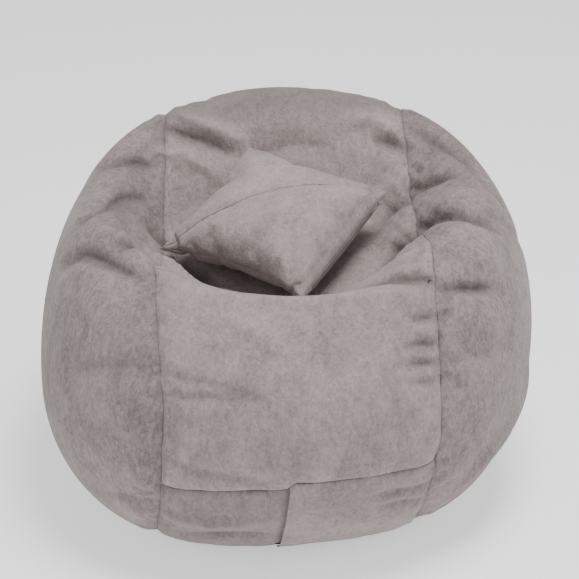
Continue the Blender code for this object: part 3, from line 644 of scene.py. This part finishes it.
def distance_to_path(points, path):
    """Each point's distance to the path, and its share along the path's length."""
    corners = np.array(path, float)
    steps = np.linalg.norm(np.diff(corners, axis=0), axis=1) + 1e-9
    starts = np.concatenate([[0], np.cumsum(steps)])
    nearest, share = np.full(len(points), np.inf), np.zeros(len(points))
    for k, (a, b) in enumerate(zip(corners, corners[1:])):
        t = np.clip((points - a) @ (b - a) / steps[k] ** 2, 0, 1)
        away = np.linalg.norm(points - (a + t[:, None] * (b - a)), axis=1)
        closer = away < nearest
        nearest = np.where(closer, away, nearest)
        share = np.where(closer, (starts[k] + t * steps[k]) / starts[-1], share)
    return nearest, share


def fold_heights(points):
    """How far each point rises, or sinks, into all of the folds."""
    heights = np.zeros(len(points))
    for path, height, width in LAID_FOLDS:
        away, share = distance_to_path(points, path)
        fade = 0.25 + 0.75 * np.sin(np.clip(share, 0, 1) * math.pi) ** 0.6
        heights += FOLD_STRENGTH * height * fade * np.exp(-((away / width) ** 2))
    return heights


def crease_lines(points):
    """The sharp line along the bottom of each valley."""
    lines = np.zeros(len(points))
    for path, height, _ in LAID_FOLDS:
        if height < 0:
            away, share = distance_to_path(points, path)
            fade = np.sin(np.clip(share, 0, 1) * math.pi) ** 0.6
            lines += CREASE_SHARE * height * fade * np.exp(-((away / CREASE_WIDTH) ** 2))
    return lines


heights = fold_heights(at_rest)
rest_layer = bag.data.attributes.new("rest", "FLOAT_VECTOR", "POINT")
rest_layer.data.foreach_set("vector", at_rest.astype(np.float32).reshape(-1))
steady = smooth_step(0.010, 0.050, at_rest[:, 2])
set_points(bag.data, at_rest + normals_of(bag.data) * ((heights - PULLED_UNDER) * steady)[:, None])
print(len(FOLDS), "folds, from", round(heights.min(), 4), "to", round(heights.max(), 4), "metres")


# %% [markdown]
# ## Letting the cloth settle
# A sewn cover is held along its seams, and the filling presses it out between them. The Cloth modifier does
# that: the seams are pinned, pressure stands in for the beads, and the cloth is a little larger than the form,
# so that it finds its own small wrinkles. How far a point may move is capped, so that the cover stays on the
# solids.

# %% Cloth
def let_settle(piece, held, pressure, slack, cap, stiffness, frames=20):
    """Runs the cloth and keeps its result. Held is 1 where a point is sewn fast, and 0 where it is free."""
    before = points_of(piece.data)
    group = piece.vertex_groups.new(name="held")
    for index in np.flatnonzero(held > 0.01):
        group.add([int(index)], float(held[index]), "REPLACE")
    cloth = piece.modifiers.new("cloth", "CLOTH")
    cloth.settings.quality = 4
    cloth.settings.mass = 0.2
    cloth.settings.tension_stiffness = cloth.settings.compression_stiffness = stiffness
    cloth.settings.bending_stiffness = 0.6
    cloth.settings.use_pressure = True
    cloth.settings.uniform_pressure_force = pressure
    cloth.settings.shrink_min = -slack
    cloth.settings.vertex_group_mass = "held"
    cloth.settings.effector_weights.gravity = 0
    cloth.collision_settings.use_collision = False
    cloth.point_cache.frame_end = frames
    for step in range(1, frames + 1):
        bpy.context.scene.frame_set(step)
    baked(piece)
    moves = points_of(piece.data) - before
    length = np.linalg.norm(moves, axis=1) + 1e-9
    moves *= (cap * np.tanh(length / cap) / length)[:, None]
    bpy.context.scene.frame_set(1)
    return before, moves


def seam_wander(y, z, side):
    """How far a side seam strays from its straight line, as hand-sewn panels do."""
    if side < 0:
        front = np.interp(z, (0.0, 0.1, 0.22, 0.40, 0.55), (-0.018, -0.012, -0.002, 0.010, 0.0))
        return front + (0.012 - front) * smooth_step(-0.20, 0.02, y)
    front = np.interp(z, (0.0, 0.1, 0.18, 0.30, 0.50), (-0.034, -0.026, -0.016, -0.002, -0.011))
    return front + (-0.022 - front) * smooth_step(-0.20, 0.02, y)


def seam_distance(points):
    """Signed distances along X from the two side seams."""
    y, z = points[:, 1], points[:, 2]
    return (points[:, 0] - LEFT_SEAM_X - seam_wander(y, z, -1),
            points[:, 0] - RIGHT_SEAM_X - seam_wander(y, z, 1))


settled = points_of(bag.data)
left_of, right_of = seam_distance(settled)
held = 0.5 * np.exp(-((np.minimum(np.abs(left_of), np.abs(right_of)) / 0.008) ** 2))
held = np.maximum(held, 1 - smooth_step(0.012, 0.045, settled[:, 2]))
settled, moves = let_settle(bag, held, 2.4, 0.030, 0.007, 9.0)
free = smooth_step(0.012, 0.060, settled[:, 2])
moved = moves * free[:, None]
settled = settled + moved
heights = heights + (moved * normals_of(bag.data)).sum(axis=1) * 0.6
print("The cloth moved up to", round(float(np.linalg.norm(moved, axis=1).max()), 4), "metres")
set_points(bag.data, settled)
# The fold depth is kept on the skin; the suede turns it into painted shade in the valleys and a painted
# highlight on the ridges.
fold_layer = bag.data.attributes.new("fold", "FLOAT", "POINT")
fold_layer.data.foreach_set("value", heights.astype(np.float32))

inner_form = bag.data.copy()
left_of, right_of = seam_distance(settled)
pinch = np.exp(-((np.minimum(np.abs(left_of), np.abs(right_of)) / 0.022) ** 2))
on_band = (settled[:, 1] < 0) & (left_of > 0) & (right_of < 0)
pinch = np.maximum(pinch, np.exp(-(((settled[:, 2] - BAND_HEIGHT) / 0.024) ** 2)) * on_band)
pinch = pinch * smooth_step(0.010, 0.030, settled[:, 2])
SINK_AT_SEAMS = 0.006
set_points(inner_form, settled - normals_of(inner_form) * (SINK_AT_SEAMS * pinch)[:, None])
subdivided(bag)
print("The settled skin has", len(bag.data.polygons), "faces")


# %% [markdown]
# ## Cutting the panels
# A real cover is cut from flat cloth and sewn. Here the settled skin is cut along the seams instead: planes
# slice it, loops beside each cut give the seam something to bend, and the edges are pulled in, so that every
# panel rolls down into its seam. A seam that strays is straightened before the cut and put back afterwards.

# %% Straighten, cut and put back
HEM_TOP_X, HEM_BOTTOM_X = -0.010, -0.031
FLAP_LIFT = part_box("closure_flap")[0][2]
UNDERLAP_END = FOLD_X + 0.004
LOOPS = (-0.011, -0.0055, -0.002, 0.0, 0.002, 0.0055, 0.011)


def band_wander(x):
    return np.interp(x, (-0.24, -0.10, -0.015, 0.0, 0.14, 0.24), (-0.020, -0.004, 0.0, 0.013, 0.012, 0.006))


def straighten(points):
    made = points.copy()
    made[:, 2] -= band_wander(points[:, 0]) * smooth_step(0.05, 0.20, points[:, 2])
    side = np.where(points[:, 0] < 0, seam_wander(points[:, 1], made[:, 2], -1),
                    seam_wander(points[:, 1], made[:, 2], 1))
    made[:, 0] -= side * smooth_step(0.05, 0.18, np.abs(points[:, 0]))
    return made


def put_back(straight):
    """The opposite of straighten, found by a few rounds of correction."""
    points = straight.copy()
    for _ in range(12):
        points += straight - straighten(points)
    return points


def slice_mesh(bm, place, normal, keep_to=None):
    """Cuts through the faces without removing any, only where keep_to says so."""
    faces = [f for f in bm.faces if keep_to is None or keep_to(f.calc_center_median())]
    edges = {edge for face in faces for edge in face.edges}
    verts = {vert for face in faces for vert in face.verts}
    bmesh.ops.bisect_plane(bm, geom=list(verts) + list(edges) + faces, dist=2e-5,
                           plane_co=place, plane_no=normal)


def in_front_band(middle):
    return middle.y < 0 and middle.z < BAND_HEIGHT + 0.03 and LEFT_SEAM_X < middle.x < RIGHT_SEAM_X


def hem_x(z):
    return HEM_BOTTOM_X + (HEM_TOP_X - HEM_BOTTOM_X) * z / BAND_HEIGHT


straight = straighten(points_of(bag.data))
set_points(bag.data, straight)
bm = bmesh.new()
bm.from_mesh(bag.data)
for seam in (LEFT_SEAM_X, RIGHT_SEAM_X):
    for step in LOOPS:
        slice_mesh(bm, (seam + step, 0, 0), (1, 0, 0), lambda m: abs(m.x - seam) < 0.03)
for step in (0.0, 0.0025, 0.007):
    slice_mesh(bm, (0, 0, BASE_SEAM_HEIGHT + step), (0, 0, 1), lambda m: m.z < 0.05)
for step in LOOPS:
    slice_mesh(bm, (0, 0, BAND_HEIGHT + step), (0, 0, 1), in_front_band)
hem_normal = Vector((1, 0, -(HEM_TOP_X - HEM_BOTTOM_X) / BAND_HEIGHT)).normalized()
for step in (-0.006, 0.0, 0.0025, 0.007, 0.009, 0.011):
    slice_mesh(bm, (HEM_BOTTOM_X + step, 0, 0), hem_normal, in_front_band)
for place in (FOLD_X, UNDERLAP_END):
    slice_mesh(bm, (place, 0, 0), (1, 0, 0), in_front_band)
slice_mesh(bm, (0, 0, FLAP_LIFT), (0, 0, 1), lambda m: in_front_band(m) and m.z < 0.06)
print("Cut into", len(bm.faces), "faces")


# %% Which face belongs to which panel
CENTRE, LEFT, RIGHT, LEFT_BAND, OVERLAP, RIGHT_BAND, BASE, UNDER_FLAP = range(8)


def panel_of(middle):
    if middle.z < BASE_SEAM_HEIGHT:
        return BASE
    if middle.x < LEFT_SEAM_X:
        return LEFT
    if middle.x > RIGHT_SEAM_X:
        return RIGHT
    if middle.y > 0 or middle.z > BAND_HEIGHT:
        return CENTRE
    if middle.x < hem_x(middle.z):
        return LEFT_BAND
    if middle.x < FOLD_X and middle.z < FLAP_LIFT:
        return UNDER_FLAP
    return OVERLAP if middle.x < UNDERLAP_END else RIGHT_BAND


panel_layer = bm.faces.layers.int.new("panel")
for face in bm.faces:
    face[panel_layer] = panel_of(face.calc_center_median())
bm.to_mesh(bag.data)
bm.free()


# %% [markdown]
# ## Pulling in the seams
# Stitches draw the cloth in, and the pull isn't even, so a seam puckers. The depth of each groove follows the
# distance to the seam, with a slow waviness along it. The band's overlap is two layers: the right band lies
# outside, lifted a little at its hem, and the left one runs under it.

# %% Grooves
def groove(away, depth, width=0.0045, soft=0.004, soft_width=0.020):
    return -depth * np.exp(-np.abs(away) / width) - soft * np.exp(-((away / soft_width) ** 2))


def waviness(points, pitch, shift=0.0):
    """Slow uneven waves in three directions, between -1 and 1."""
    a = np.sin(points @ np.array([1.0, 0.7, 1.3]) / pitch + shift)
    b = np.sin(points @ np.array([-0.8, 1.2, 0.9]) / pitch * 1.7 + 2 * shift)
    return 0.6 * a + 0.4 * b * np.sin(points @ np.array([0.5, -1.1, 0.8]) / pitch * 0.6)


straight = points_of(bag.data)
points = put_back(straight)
set_points(bag.data, points)
normals = normals_of(bag.data)
x, y, z = straight.T
above_base = smooth_step(BASE_SEAM_HEIGHT - 0.001, BASE_SEAM_HEIGHT + 0.012, z)
pucker = 1 + 0.45 * waviness(points, 0.016)
pull = np.zeros(len(points))
for seam in (LEFT_SEAM_X, RIGHT_SEAM_X):
    pull += groove(x - seam, 0.0036, soft=0.0008) * pucker
    near = np.exp(-((x - seam) / 0.045) ** 2)
    pull += 0.0022 * near * waviness(points, 0.0085, seam * 10) * smooth_step(0.003, 0.02, np.abs(x - seam))
in_front = (y < 0) & (x > LEFT_SEAM_X) & (x < RIGHT_SEAM_X)
pull += np.where(in_front, groove(z - BAND_HEIGHT, 0.0034, soft=0.0006), 0) * pucker
pull += groove(np.maximum(z - BASE_SEAM_HEIGHT, 0), 0.0, soft=0.005,
    soft_width=0.010) * (z > BASE_SEAM_HEIGHT)
rest = np.empty(len(points) * 3, np.float32)
bag.data.attributes["rest"].data.foreach_get("vector", rest)
pull += crease_lines(rest.reshape(-1, 3).astype(float))
pull *= above_base
set_points(bag.data, points + normals * pull[:, None])
# The seams' grooves join the fold depth, so the suede gets painted shade along them too.
folds = np.empty(len(points), np.float32)
bag.data.attributes["fold"].data.foreach_get("value", folds)
bag.data.attributes["fold"].data.foreach_set("value", (folds + pull * 0.8).astype(np.float32))
print("Seams pulled in by up to", round(float(-pull.min()), 4), "metres")


# %% [markdown]
# ## Panels as pieces
# Each panel is taken from the skin by its number and given the cloth's thickness with Solidify, inwards, so
# that its outside stays where it settled. Whatever is the same for every panel is one function.

# %% Taking panels
def take(name, source, kept, look, thickness, layer="panel", shift=None):
    """A piece made of the faces whose number is in kept, moved by shift along its normals."""
    bm = bmesh.new()
    bm.from_mesh(source)
    numbers = bm.faces.layers.int[layer]
    bmesh.ops.delete(bm, geom=[face for face in bm.faces if face[numbers] not in kept], context="FACES")
    if shift is not None:
        bm.normal_update()
        places = np.array([vert.co for vert in bm.verts])
        ways = np.array([vert.normal for vert in bm.verts])
        for vert, place in zip(bm.verts, places + ways * shift(places)[:, None]):
            vert.co = place
    mesh = bpy.data.meshes.new(name)
    bm.to_mesh(mesh)
    bm.free()
    mesh.materials.clear()
    mesh.materials.append(look)
    mesh.shade_smooth()
    piece = add_piece(name, mesh)
    shell = piece.modifiers.new("thickness", "SOLIDIFY")
    shell.thickness = thickness
    shell.offset = -1
    baked(piece)
    return piece


def finish_piece(piece, body, *nodes):
    """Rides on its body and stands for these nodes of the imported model."""
    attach(piece, body)
    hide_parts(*nodes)
    print(piece.name, "has", len(piece.data.polygons), "faces")
    return piece


centre = take("centre_cover", bag.data, {CENTRE}, centre_suede, COVER_THICKNESS)
left_side = take("left_side_cover", bag.data, {LEFT}, shaded_side_suede, COVER_THICKNESS)
right_side = take("right_side_cover", bag.data, {RIGHT}, shaded_side_suede, COVER_THICKNESS)


def under_hem(places):
    return -0.0045 * smooth_step(-0.014, -0.002, places[:, 0] - hem_x(places[:, 2]))


def over_hem(places):
    edge = places[:, 0] - hem_x(places[:, 2])
    return 0.0024 * (1 - smooth_step(0.02, 0.07, edge)) + 0.0008 * np.exp(-((edge / 0.004) ** 2))


left_band = take("left_band_cover", bag.data, {LEFT_BAND, OVERLAP, UNDER_FLAP}, shaded_left_band_suede,
    COVER_THICKNESS,
                 shift=under_hem)
right_band = take("right_band_cover", bag.data, {OVERLAP, RIGHT_BAND}, shaded_band_suede, COVER_THICKNESS,
                  shift=over_hem)
finish_piece(centre, "bag", "centre_panel")
finish_piece(left_side, "bag", "left_side_panel")
finish_piece(right_side, "bag", "right_side_panel")
finish_piece(left_band, "bag", "left_closure_band")
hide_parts("right_closure_band", "closure_flap")
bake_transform(right_band)


# %% [markdown]
# ## Base, liner and filling
# Under the suede is a liner of thin cloth, and in it the beads. They follow the settled skin at their own
# depth, so nothing pokes through a fold. The base cloth and the liner each have a slit for a zip, which is cut
# by planes like the seams.

# %% Cutting a slit and making the inner layers
def box_of(*nodes):
    corners = [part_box(node) for node in nodes]
    return ([min(low[k] for low, _ in corners) for k in range(3)],
            [max(high[k] for _, high in corners) for k in range(3)])


def with_slit(mesh, middle_x, width, low_y, high_y, top, seam_height):
    """Numbers the faces of a copy: 0 above the base's seam, 1 below it, and 2 in the slit."""
    bm = bmesh.new()
    bm.from_mesh(mesh)
    slice_mesh(bm, (0, 0, seam_height), (0, 0, 1), lambda m: m.z < 0.06)
    for side in (-1, 1):
        slice_mesh(bm, (middle_x + side * width / 2, 0, 0), (1, 0, 0), lambda m: m.z < top)
    for place in (low_y, high_y):
        slice_mesh(bm, (0, place, 0), (0, 1, 0), lambda m: m.z < top)
    numbers = bm.faces.layers.int.new("part")
    for face in bm.faces:
        m = face.calc_center_median()
        in_slit = abs(m.x - middle_x) < width / 2 and low_y < m.y < high_y and m.z < top
        face[numbers] = 2 if in_slit else int(m.z < seam_height)
    made = bpy.data.meshes.new("cut")
    bm.to_mesh(made)
    bm.free()
    return made


def sunk(mesh, depth):
    """A copy of the mesh, this deep under its surface, with flat parts of the base kept flat."""
    made = mesh.copy()
    set_points(made, points_of(made) - normals_of(made) * depth)
    return made


def zip_slit(prefix, width):
    low, high = box_of(f"{prefix}_zip_left_tape", f"{prefix}_zip_right_tape")
    middle = (low[0] + high[0]) / 2
    return middle, width, low[1], high[1]


base_form = with_slit(bag.data, *zip_slit("cover", 0.012), BASE_SEAM_HEIGHT, BASE_SEAM_HEIGHT)
base = take("base_cover", base_form, {1}, base_cloth, COVER_THICKNESS, "part")
finish_piece(base, "bag", "base_panel")

LINER_DEPTH, LINER_THICKNESS, FILL_DEPTH = 0.0085, 0.001, 0.0145
liner_form = with_slit(sunk(inner_form, LINER_DEPTH), *zip_slit("liner", 0.010), 0.016, 0.020)
for name, number, node in (("liner_body_cloth", 0, "liner_body"), ("liner_base_cloth", 1, "liner_base")):
    finish_piece(take(name, liner_form, {number}, liner_cloth, LINER_THICKNESS, "part"), "bag", node)
filling = add_piece("filling", sunk(inner_form, FILL_DEPTH))
filling.data.materials.append(beads)
filling.data.shade_smooth()
finish_piece(filling, "bag", "bead_fill")


# %% [markdown]
# ## The scatter cushion
# A cushion is two square panels sewn edge to edge and stuffed. It crowns in the middle, its sides pull in
# between the corners, and its corners stay flat and pointed. It starts as two crowned grids that share their
# edge, in the cushion's own frame, and the cloth then settles under pressure as on the bag.

# %% The pillow form
PILLOW_CELLS = 56
SIDE_PULL_IN, TOP_EXTRA, FOLD_GAIN = 0.165, 0.008, 1.5


def evened(share):
    """Spaces the grid's lines so that the cells get smaller towards the edge."""
    return share * (1 + 0.42 * (1 - share * share))


def pillow_point(x, y, side):
    u, v = max(-1, min(1, evened(x))), max(-1, min(1, evened(y)))
    crown = max(1 - u * u, 0) * max(1 - v * v, 0)
    crown = crown ** (0.5 * CROWN_POWER)
    pull_across = SIDE_PULL_IN * (1 + v) / 2
    half = CUSHION_SIDE / 2
    longer = 1 + 0.03 * (1 + v)
    return (half * u * (1.02 - SIDE_PULL_IN * (1 - v * v)),
        half * v * longer * (1 - pull_across * (1 - u * u)),
            side * (CUSHION_THICKNESS / 2 + (TOP_EXTRA if side > 0 else 0.0)) * crown)


def pillow_mesh():
    bm = bmesh.new()
    for side in (1, -1):
        made = bmesh.ops.create_grid(bm, x_segments=PILLOW_CELLS, y_segments=PILLOW_CELLS, size=1)
        for vert in made["verts"]:
            vert.co = pillow_point(vert.co.x, vert.co.y, side)
    bmesh.ops.remove_doubles(bm, verts=bm.verts, dist=1e-5)
    face_outwards(bm)
    mesh = bpy.data.meshes.new("pillow_form")
    bm.to_mesh(mesh)
    bm.free()
    return mesh


CUSHION_FOLDS = (
    (((-0.13, 0.13, 0.010), (-0.09, 0.08, 0.035), (-0.06, 0.05, 0.050)), -0.006, 0.012),
    (((0.13, -0.13, 0.010), (0.09, -0.08, 0.035), (0.05, -0.06, 0.050)), -0.007, 0.011),
    (((-0.13, -0.13, 0.010), (-0.09, -0.09, 0.035), (-0.04, -0.07, 0.050)), -0.006, 0.013),
    (((-0.10, -0.02, 0.045), (-0.05, -0.05, 0.052), (0.02, -0.05, 0.056)), -0.004, 0.020),
    (((0.13, 0.13, 0.010), (0.10, 0.09, 0.030), (0.07, 0.05, 0.048)), -0.006, 0.012),
    (((0.00, 0.13, 0.030), (0.02, 0.09, 0.045)), -0.004, 0.014),
    (((0.02, -0.14, 0.020), (0.03, -0.10, 0.040)), -0.004, 0.012),
    (((-0.06, -0.14, 0.020), (-0.04, -0.10, 0.040)), -0.004, 0.010),
)


def cushion_fold_heights(places):
    heights = np.zeros(len(places))
    for path, height, width in CUSHION_FOLDS:
        away, _ = distance_to_path(places, path)
        heights += FOLD_GAIN * height * np.exp(-((away / width) ** 2))
    return heights


pillow = add_piece("pillow_form", pillow_mesh())
at_rest = points_of(pillow.data)
heights = cushion_fold_heights(at_rest)
from_zip = at_rest[:, 1] + CUSHION_SIDE / 2
set_points(pillow.data, at_rest + normals_of(pillow.data) * heights[:, None])
corner = CUSHION_SIDE / 2 * np.array([(a, b) for a in (-1, 1) for b in (-1, 1)])
to_corner = np.linalg.norm(at_rest[:, None, :2] - corner[None], axis=2).min(axis=1)
on_edge = np.abs(at_rest[:, 2]) < 0.0005
edge = np.where(on_edge & (from_zip < 0.004), 1.0, 0.35 * on_edge)
edge = np.maximum(edge, 1 - smooth_step(0.012, 0.030, to_corner))
settled, moves = let_settle(pillow, edge, 9.0, 0.07, 0.018, 3.5)
moved = moves * smooth_step(0.002, 0.020, from_zip)[:, None]
heights = heights + (moved * normals_of(pillow.data)).sum(axis=1) * 0.6
set_points(pillow.data, settled + moved)
print("The cushion moved up to", round(float(np.linalg.norm(moved, axis=1).max()), 4), "metres")
# The cushion's fold depth likewise becomes painted shade in its valleys and a painted highlight on its ridges.
fold_layer = pillow.data.attributes.new("fold", "FLOAT", "POINT")
fold_layer.data.foreach_set("value", heights.astype(np.float32))
pillow_inner = pillow.data.copy()
set_points(pillow_inner, points_of(pillow_inner) * (0.955, 0.955, 1.0))
subdivided(pillow)


# %% [markdown]
# ## Sewing the cushion
# The front is pieced from two halves along the diagonal, and the edge seam runs all round. The zip sits in the
# edge seam of one side: the seam is left open there, and the coil shows in the slit.

# %% Cutting the cushion's panels
UPPER, LOWER, BACK, ZIP_SLIT = range(4)
CUSHION_ZIP_LENGTH, CUSHION_SLIT_WIDTH = 0.236, 0.0076
diagonal = Vector((1, 1, 0)).normalized()


def cushion_panel(middle):
    in_slit = (abs(middle.z) < CUSHION_SLIT_WIDTH / 2 and abs(middle.x) < CUSHION_ZIP_LENGTH / 2
               and middle.y < -CUSHION_SIDE / 2 + 0.012)
    if in_slit:
        return ZIP_SLIT
    if middle.z < 0:
        return BACK
    return UPPER if middle.x + middle.y > 0 else LOWER


bm = bmesh.new()
bm.from_mesh(pillow.data)
for step in (-0.009, -0.004, -0.0015, 0.0, 0.0015, 0.004, 0.009):
    slice_mesh(bm, diagonal * step, diagonal, lambda m: m.z > 0 and abs(m.dot(diagonal)) < 0.03)
near_edge = CUSHION_SIDE / 2 - 0.03
for step in (-CUSHION_SLIT_WIDTH / 2, 0.0, CUSHION_SLIT_WIDTH / 2):
    slice_mesh(bm, (0, 0, step), (0, 0, 1), lambda m: abs(m.z) < 0.02)
for side in (-1, 1):
    slice_mesh(bm, (side * CUSHION_ZIP_LENGTH / 2, 0, 0), (1, 0, 0), lambda m: m.y < -near_edge)
panel_layer = bm.faces.layers.int.new("panel")
for face in bm.faces:
    face[panel_layer] = cushion_panel(face.calc_center_median())
bm.to_mesh(pillow.data)
bm.free()

places = points_of(pillow.data)
across_seam = places @ np.array(diagonal)
pull = np.where(places[:, 2] > 0, groove(across_seam, 0.0026, 0.0025, 0.0018, 0.010), 0)
pull *= smooth_step(0.0, 0.012, places[:, 2]) * (1 + 0.35 * waviness(places, 0.009))
from_zip = places[:, 1] + CUSHION_SIDE / 2
rounding = np.exp(-np.abs(places[:, 2]) / 0.0035) * (1 + 0.5 * waviness(places, 0.007))
pull -= 0.0022 * rounding * smooth_step(0.004, 0.02, from_zip)
set_points(pillow.data, places + normals_of(pillow.data) * pull[:, None])

# %% Placing the cushion's pieces
lie = cushion_matrix()
for mesh in (pillow.data, pillow_inner):
    mesh.transform(lie)
for name, number, node in (("cushion_front_upper_cover", UPPER, "cushion_front_upper_panel"),
                           ("cushion_front_lower_cover", LOWER, "cushion_front_lower_panel"),
                           ("cushion_back_cover", BACK, "cushion_back_panel")):
    piece = take(name, pillow.data, {number}, cushion_suede, 0.0016)
    finish_piece(piece, "cushion", node)

casing_form = sunk(pillow_inner, 0.0055)
bm = bmesh.new()
bm.from_mesh(casing_form)
numbers = bm.faces.layers.int.new("part")
upwards = lie.to_3x3() @ Vector((0, 0, 1))
for face in bm.faces:
    face[numbers] = int((face.calc_center_median() - lie.translation).dot(upwards) < 0)
bm.to_mesh(casing_form)
bm.free()
for name, number, node in (("cushion_casing_top", 0, "cushion_casing_front"),
                           ("cushion_casing_under", 1, "cushion_casing_back")):
    finish_piece(take(name, casing_form, {number}, casing_cloth, 0.0008, "part"), "cushion", node)
stuffing = add_piece("stuffing", sunk(pillow_inner, 0.0085))
stuffing.data.materials.append(wool)
stuffing.data.shade_smooth()
finish_piece(stuffing, "cushion", "cushion_fibre_fill")


# %% [markdown]
# ## Stitches and zip teeth
# Topstitching and a zip's coil are one small shape repeated along a path. Geometry Nodes do that: the path is
# resampled to even steps, a shape is put on each point and turned along the path, and the copies are made
# real. The way up is stored on the path's points, so that each stitch lies flat on the cloth.

# %% A tree that repeats a shape along a path
def repeat_along_path():
    tree = bpy.data.node_groups.new("repeat_along_path", "GeometryNodeTree")
    face = tree.interface
    face.new_socket("Path", in_out="INPUT", socket_type="NodeSocketGeometry")
    for name, value in (("Pitch", 0.004), ("Length", 0.003), ("Width", 0.0007), ("Height", 0.0006)):
        face.new_socket(name, in_out="INPUT", socket_type="NodeSocketFloat").default_value = value
    face.new_socket("Look", in_out="INPUT", socket_type="NodeSocketMaterial")
    face.new_socket("Row", in_out="OUTPUT", socket_type="NodeSocketGeometry")

    def add(kind, settings=None, **inputs):
        node = tree.nodes.new(kind)
        for key, value in (settings or {}).items():
            setattr(node, key, value)
        for key, value in inputs.items():
            socket = node.inputs[key.replace("_", " ")]
            if isinstance(value, bpy.types.NodeSocket):
                tree.links.new(value, socket)
            else:
                socket.default_value = value
        return node

    given = add("NodeGroupInput").outputs
    curve = add("GeometryNodeMeshToCurve", Mesh=given["Path"])
    even = add("GeometryNodeResampleCurve", {"mode": "LENGTH"}, Curve=curve.outputs[0],
        Length=given["Pitch"])
    tangent = add("GeometryNodeInputTangent")
    up = add("GeometryNodeInputNamedAttribute", {"data_type": "FLOAT_VECTOR"}, Name="up")
    along = add("FunctionNodeAlignRotationToVector", {"axis": "X"}, Vector=tangent.outputs[0])
    turned = add("FunctionNodeAlignRotationToVector", {"axis": "Z", "pivot_axis": "X"},
                 Rotation=along.outputs[0], Vector=up.outputs[0])
    shape = add("GeometryNodeMeshUVSphere", Segments=6, Rings=4, Radius=0.5)
    size = add("ShaderNodeCombineXYZ", X=given["Length"], Y=given["Width"], Z=given["Height"])
    copies = add("GeometryNodeInstanceOnPoints", Points=even.outputs[0], Instance=shape.outputs[0],
                 Rotation=turned.outputs[0], Scale=size.outputs[0])
    real = add("GeometryNodeRealizeInstances", Geometry=copies.outputs[0])
    painted = add("GeometryNodeSetMaterial", Geometry=real.outputs[0], Material=given["Look"])
    out = add("NodeGroupOutput")
    tree.links.new(painted.outputs[0], out.inputs[0])
    return tree


ROW_TREE = repeat_along_path()


def row(name, body, slot, path, ups, look, pitch, length, width, height):
    """One row of stitches or teeth along a path of points."""
    mesh = bpy.data.meshes.new(name)
    mesh.from_pydata([tuple(p) for p in path], [(k, k + 1) for k in range(len(path) - 1)], [])
    layer = mesh.attributes.new("up", "FLOAT_VECTOR", "POINT")
    layer.data.foreach_set("vector", np.array(ups, np.float32).reshape(-1))
    piece = add_piece(name, mesh)
    nodes = piece.modifiers.new("row", "NODES")
    nodes.node_group = ROW_TREE
    sockets = {item.name: item.identifier for item in ROW_TREE.interface.items_tree if item.in_out == "INPUT"}
    for socket, value in (("Pitch", pitch), ("Length", length), ("Width", width), ("Height", height),
                          ("Look", look)):
        nodes[sockets[socket]] = value
    baked(piece)
    piece.data.shade_smooth()
    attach(piece, body)
    print(name, "has", len(piece.data.polygons), "faces")
    return piece


# %% Paths laid on the cloth
def cloth_tree(piece):
    bm = bmesh.new()
    bm.from_mesh(piece.data)
    made = BVHTree.FromBMesh(bm)
    bm.free()
    return made


def on_cloth(tree, starts, ways, lift=0.0002):
    """Where rays from outside meet the cloth, and the cloth's normals there."""
    path, ups = [], []
    for start, way in zip(starts, ways):
        hit, normal, _, _ = tree.ray_cast(Vector(start), Vector(way))
        if hit:
            path.append(hit + normal * lift)
            ups.append(normal)
    return path, ups


band_tree = cloth_tree(right_band)
heights = np.linspace(FLAP_LIFT + 0.006, BAND_HEIGHT - 0.012, 60)
hem_starts = [(hem_x(z) + 0.009, -1, z) for z in heights]
path, ups = on_cloth(band_tree, hem_starts, [(0, 1, 0)] * len(hem_starts))
row("flap_hem_stitches", "closure_flap", "suede_cover", path, ups, thread, 0.0042, 0.0030, 0.0009, 0.0008)
bar_starts = [(hem_x(0.13) + 0.011 + 0.0012 * k, -1, 0.13) for k in range(20)]
path, ups = on_cloth(band_tree, bar_starts, [(0, 1, 0)] * len(bar_starts))
row("flap_bar_stitches", "closure_flap", "suede_cover", path, ups, thread, 0.0034, 0.0026, 0.0009, 0.0008)


# %% Zip teeth
def straight_row(name, body, slot, start, end, up, look, sizes):
    steps = np.linspace(0, 1, 12)
    path = [Vector(start).lerp(Vector(end), float(t)) for t in steps]
    return row(name, body, slot, path, [up] * len(path), look, *sizes)


COIL = (0.0022, 0.0012, 0.0030, 0.0011)
along, across, normal = cushion_axes()
zip_line = -CUSHION_SIDE / 2 - 0.0001
start, end = (lie @ Vector((side * (CUSHION_ZIP_LENGTH / 2 - 0.003), zip_line, 0)) for side in (-1, 1))
straight_row("cushion_zip_teeth", "cushion", "zip_tape", start, end, -across, tape_cloth, COIL)


# %% [markdown]
# ## The nodes that stay
# Sliders, pull, tapes and the little corner tab are right as they were built, so they only get their
# finishes. Their own meshes aren't touched.

# %% Finishes for the nodes that stay
KEPT = {
    "cover_zip_left_tape": dark_tape_cloth, "cover_zip_right_tape": dark_tape_cloth,
    "liner_zip_left_tape": tape_cloth, "liner_zip_right_tape": tape_cloth,
    "cushion_zip_upper_tape": tape_cloth, "cushion_zip_lower_tape": tape_cloth,
    "cushion_corner_tab": tape_cloth, "cover_zip_slider": metal, "liner_zip_slider": metal,
    "cushion_zip_slider": metal, "cushion_zip_pull": metal,
}
for node, look in KEPT.items():
    for material_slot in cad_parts[node].material_slots:
        material_slot.material = look
print(len(KEPT), "nodes keep their shape")

# %% [markdown]
# ## Clearing up
# The forms that the pieces were taken from go.

# %% Clear up
for form in (bag, pillow):
    bpy.data.objects.remove(form, do_unlink=True)
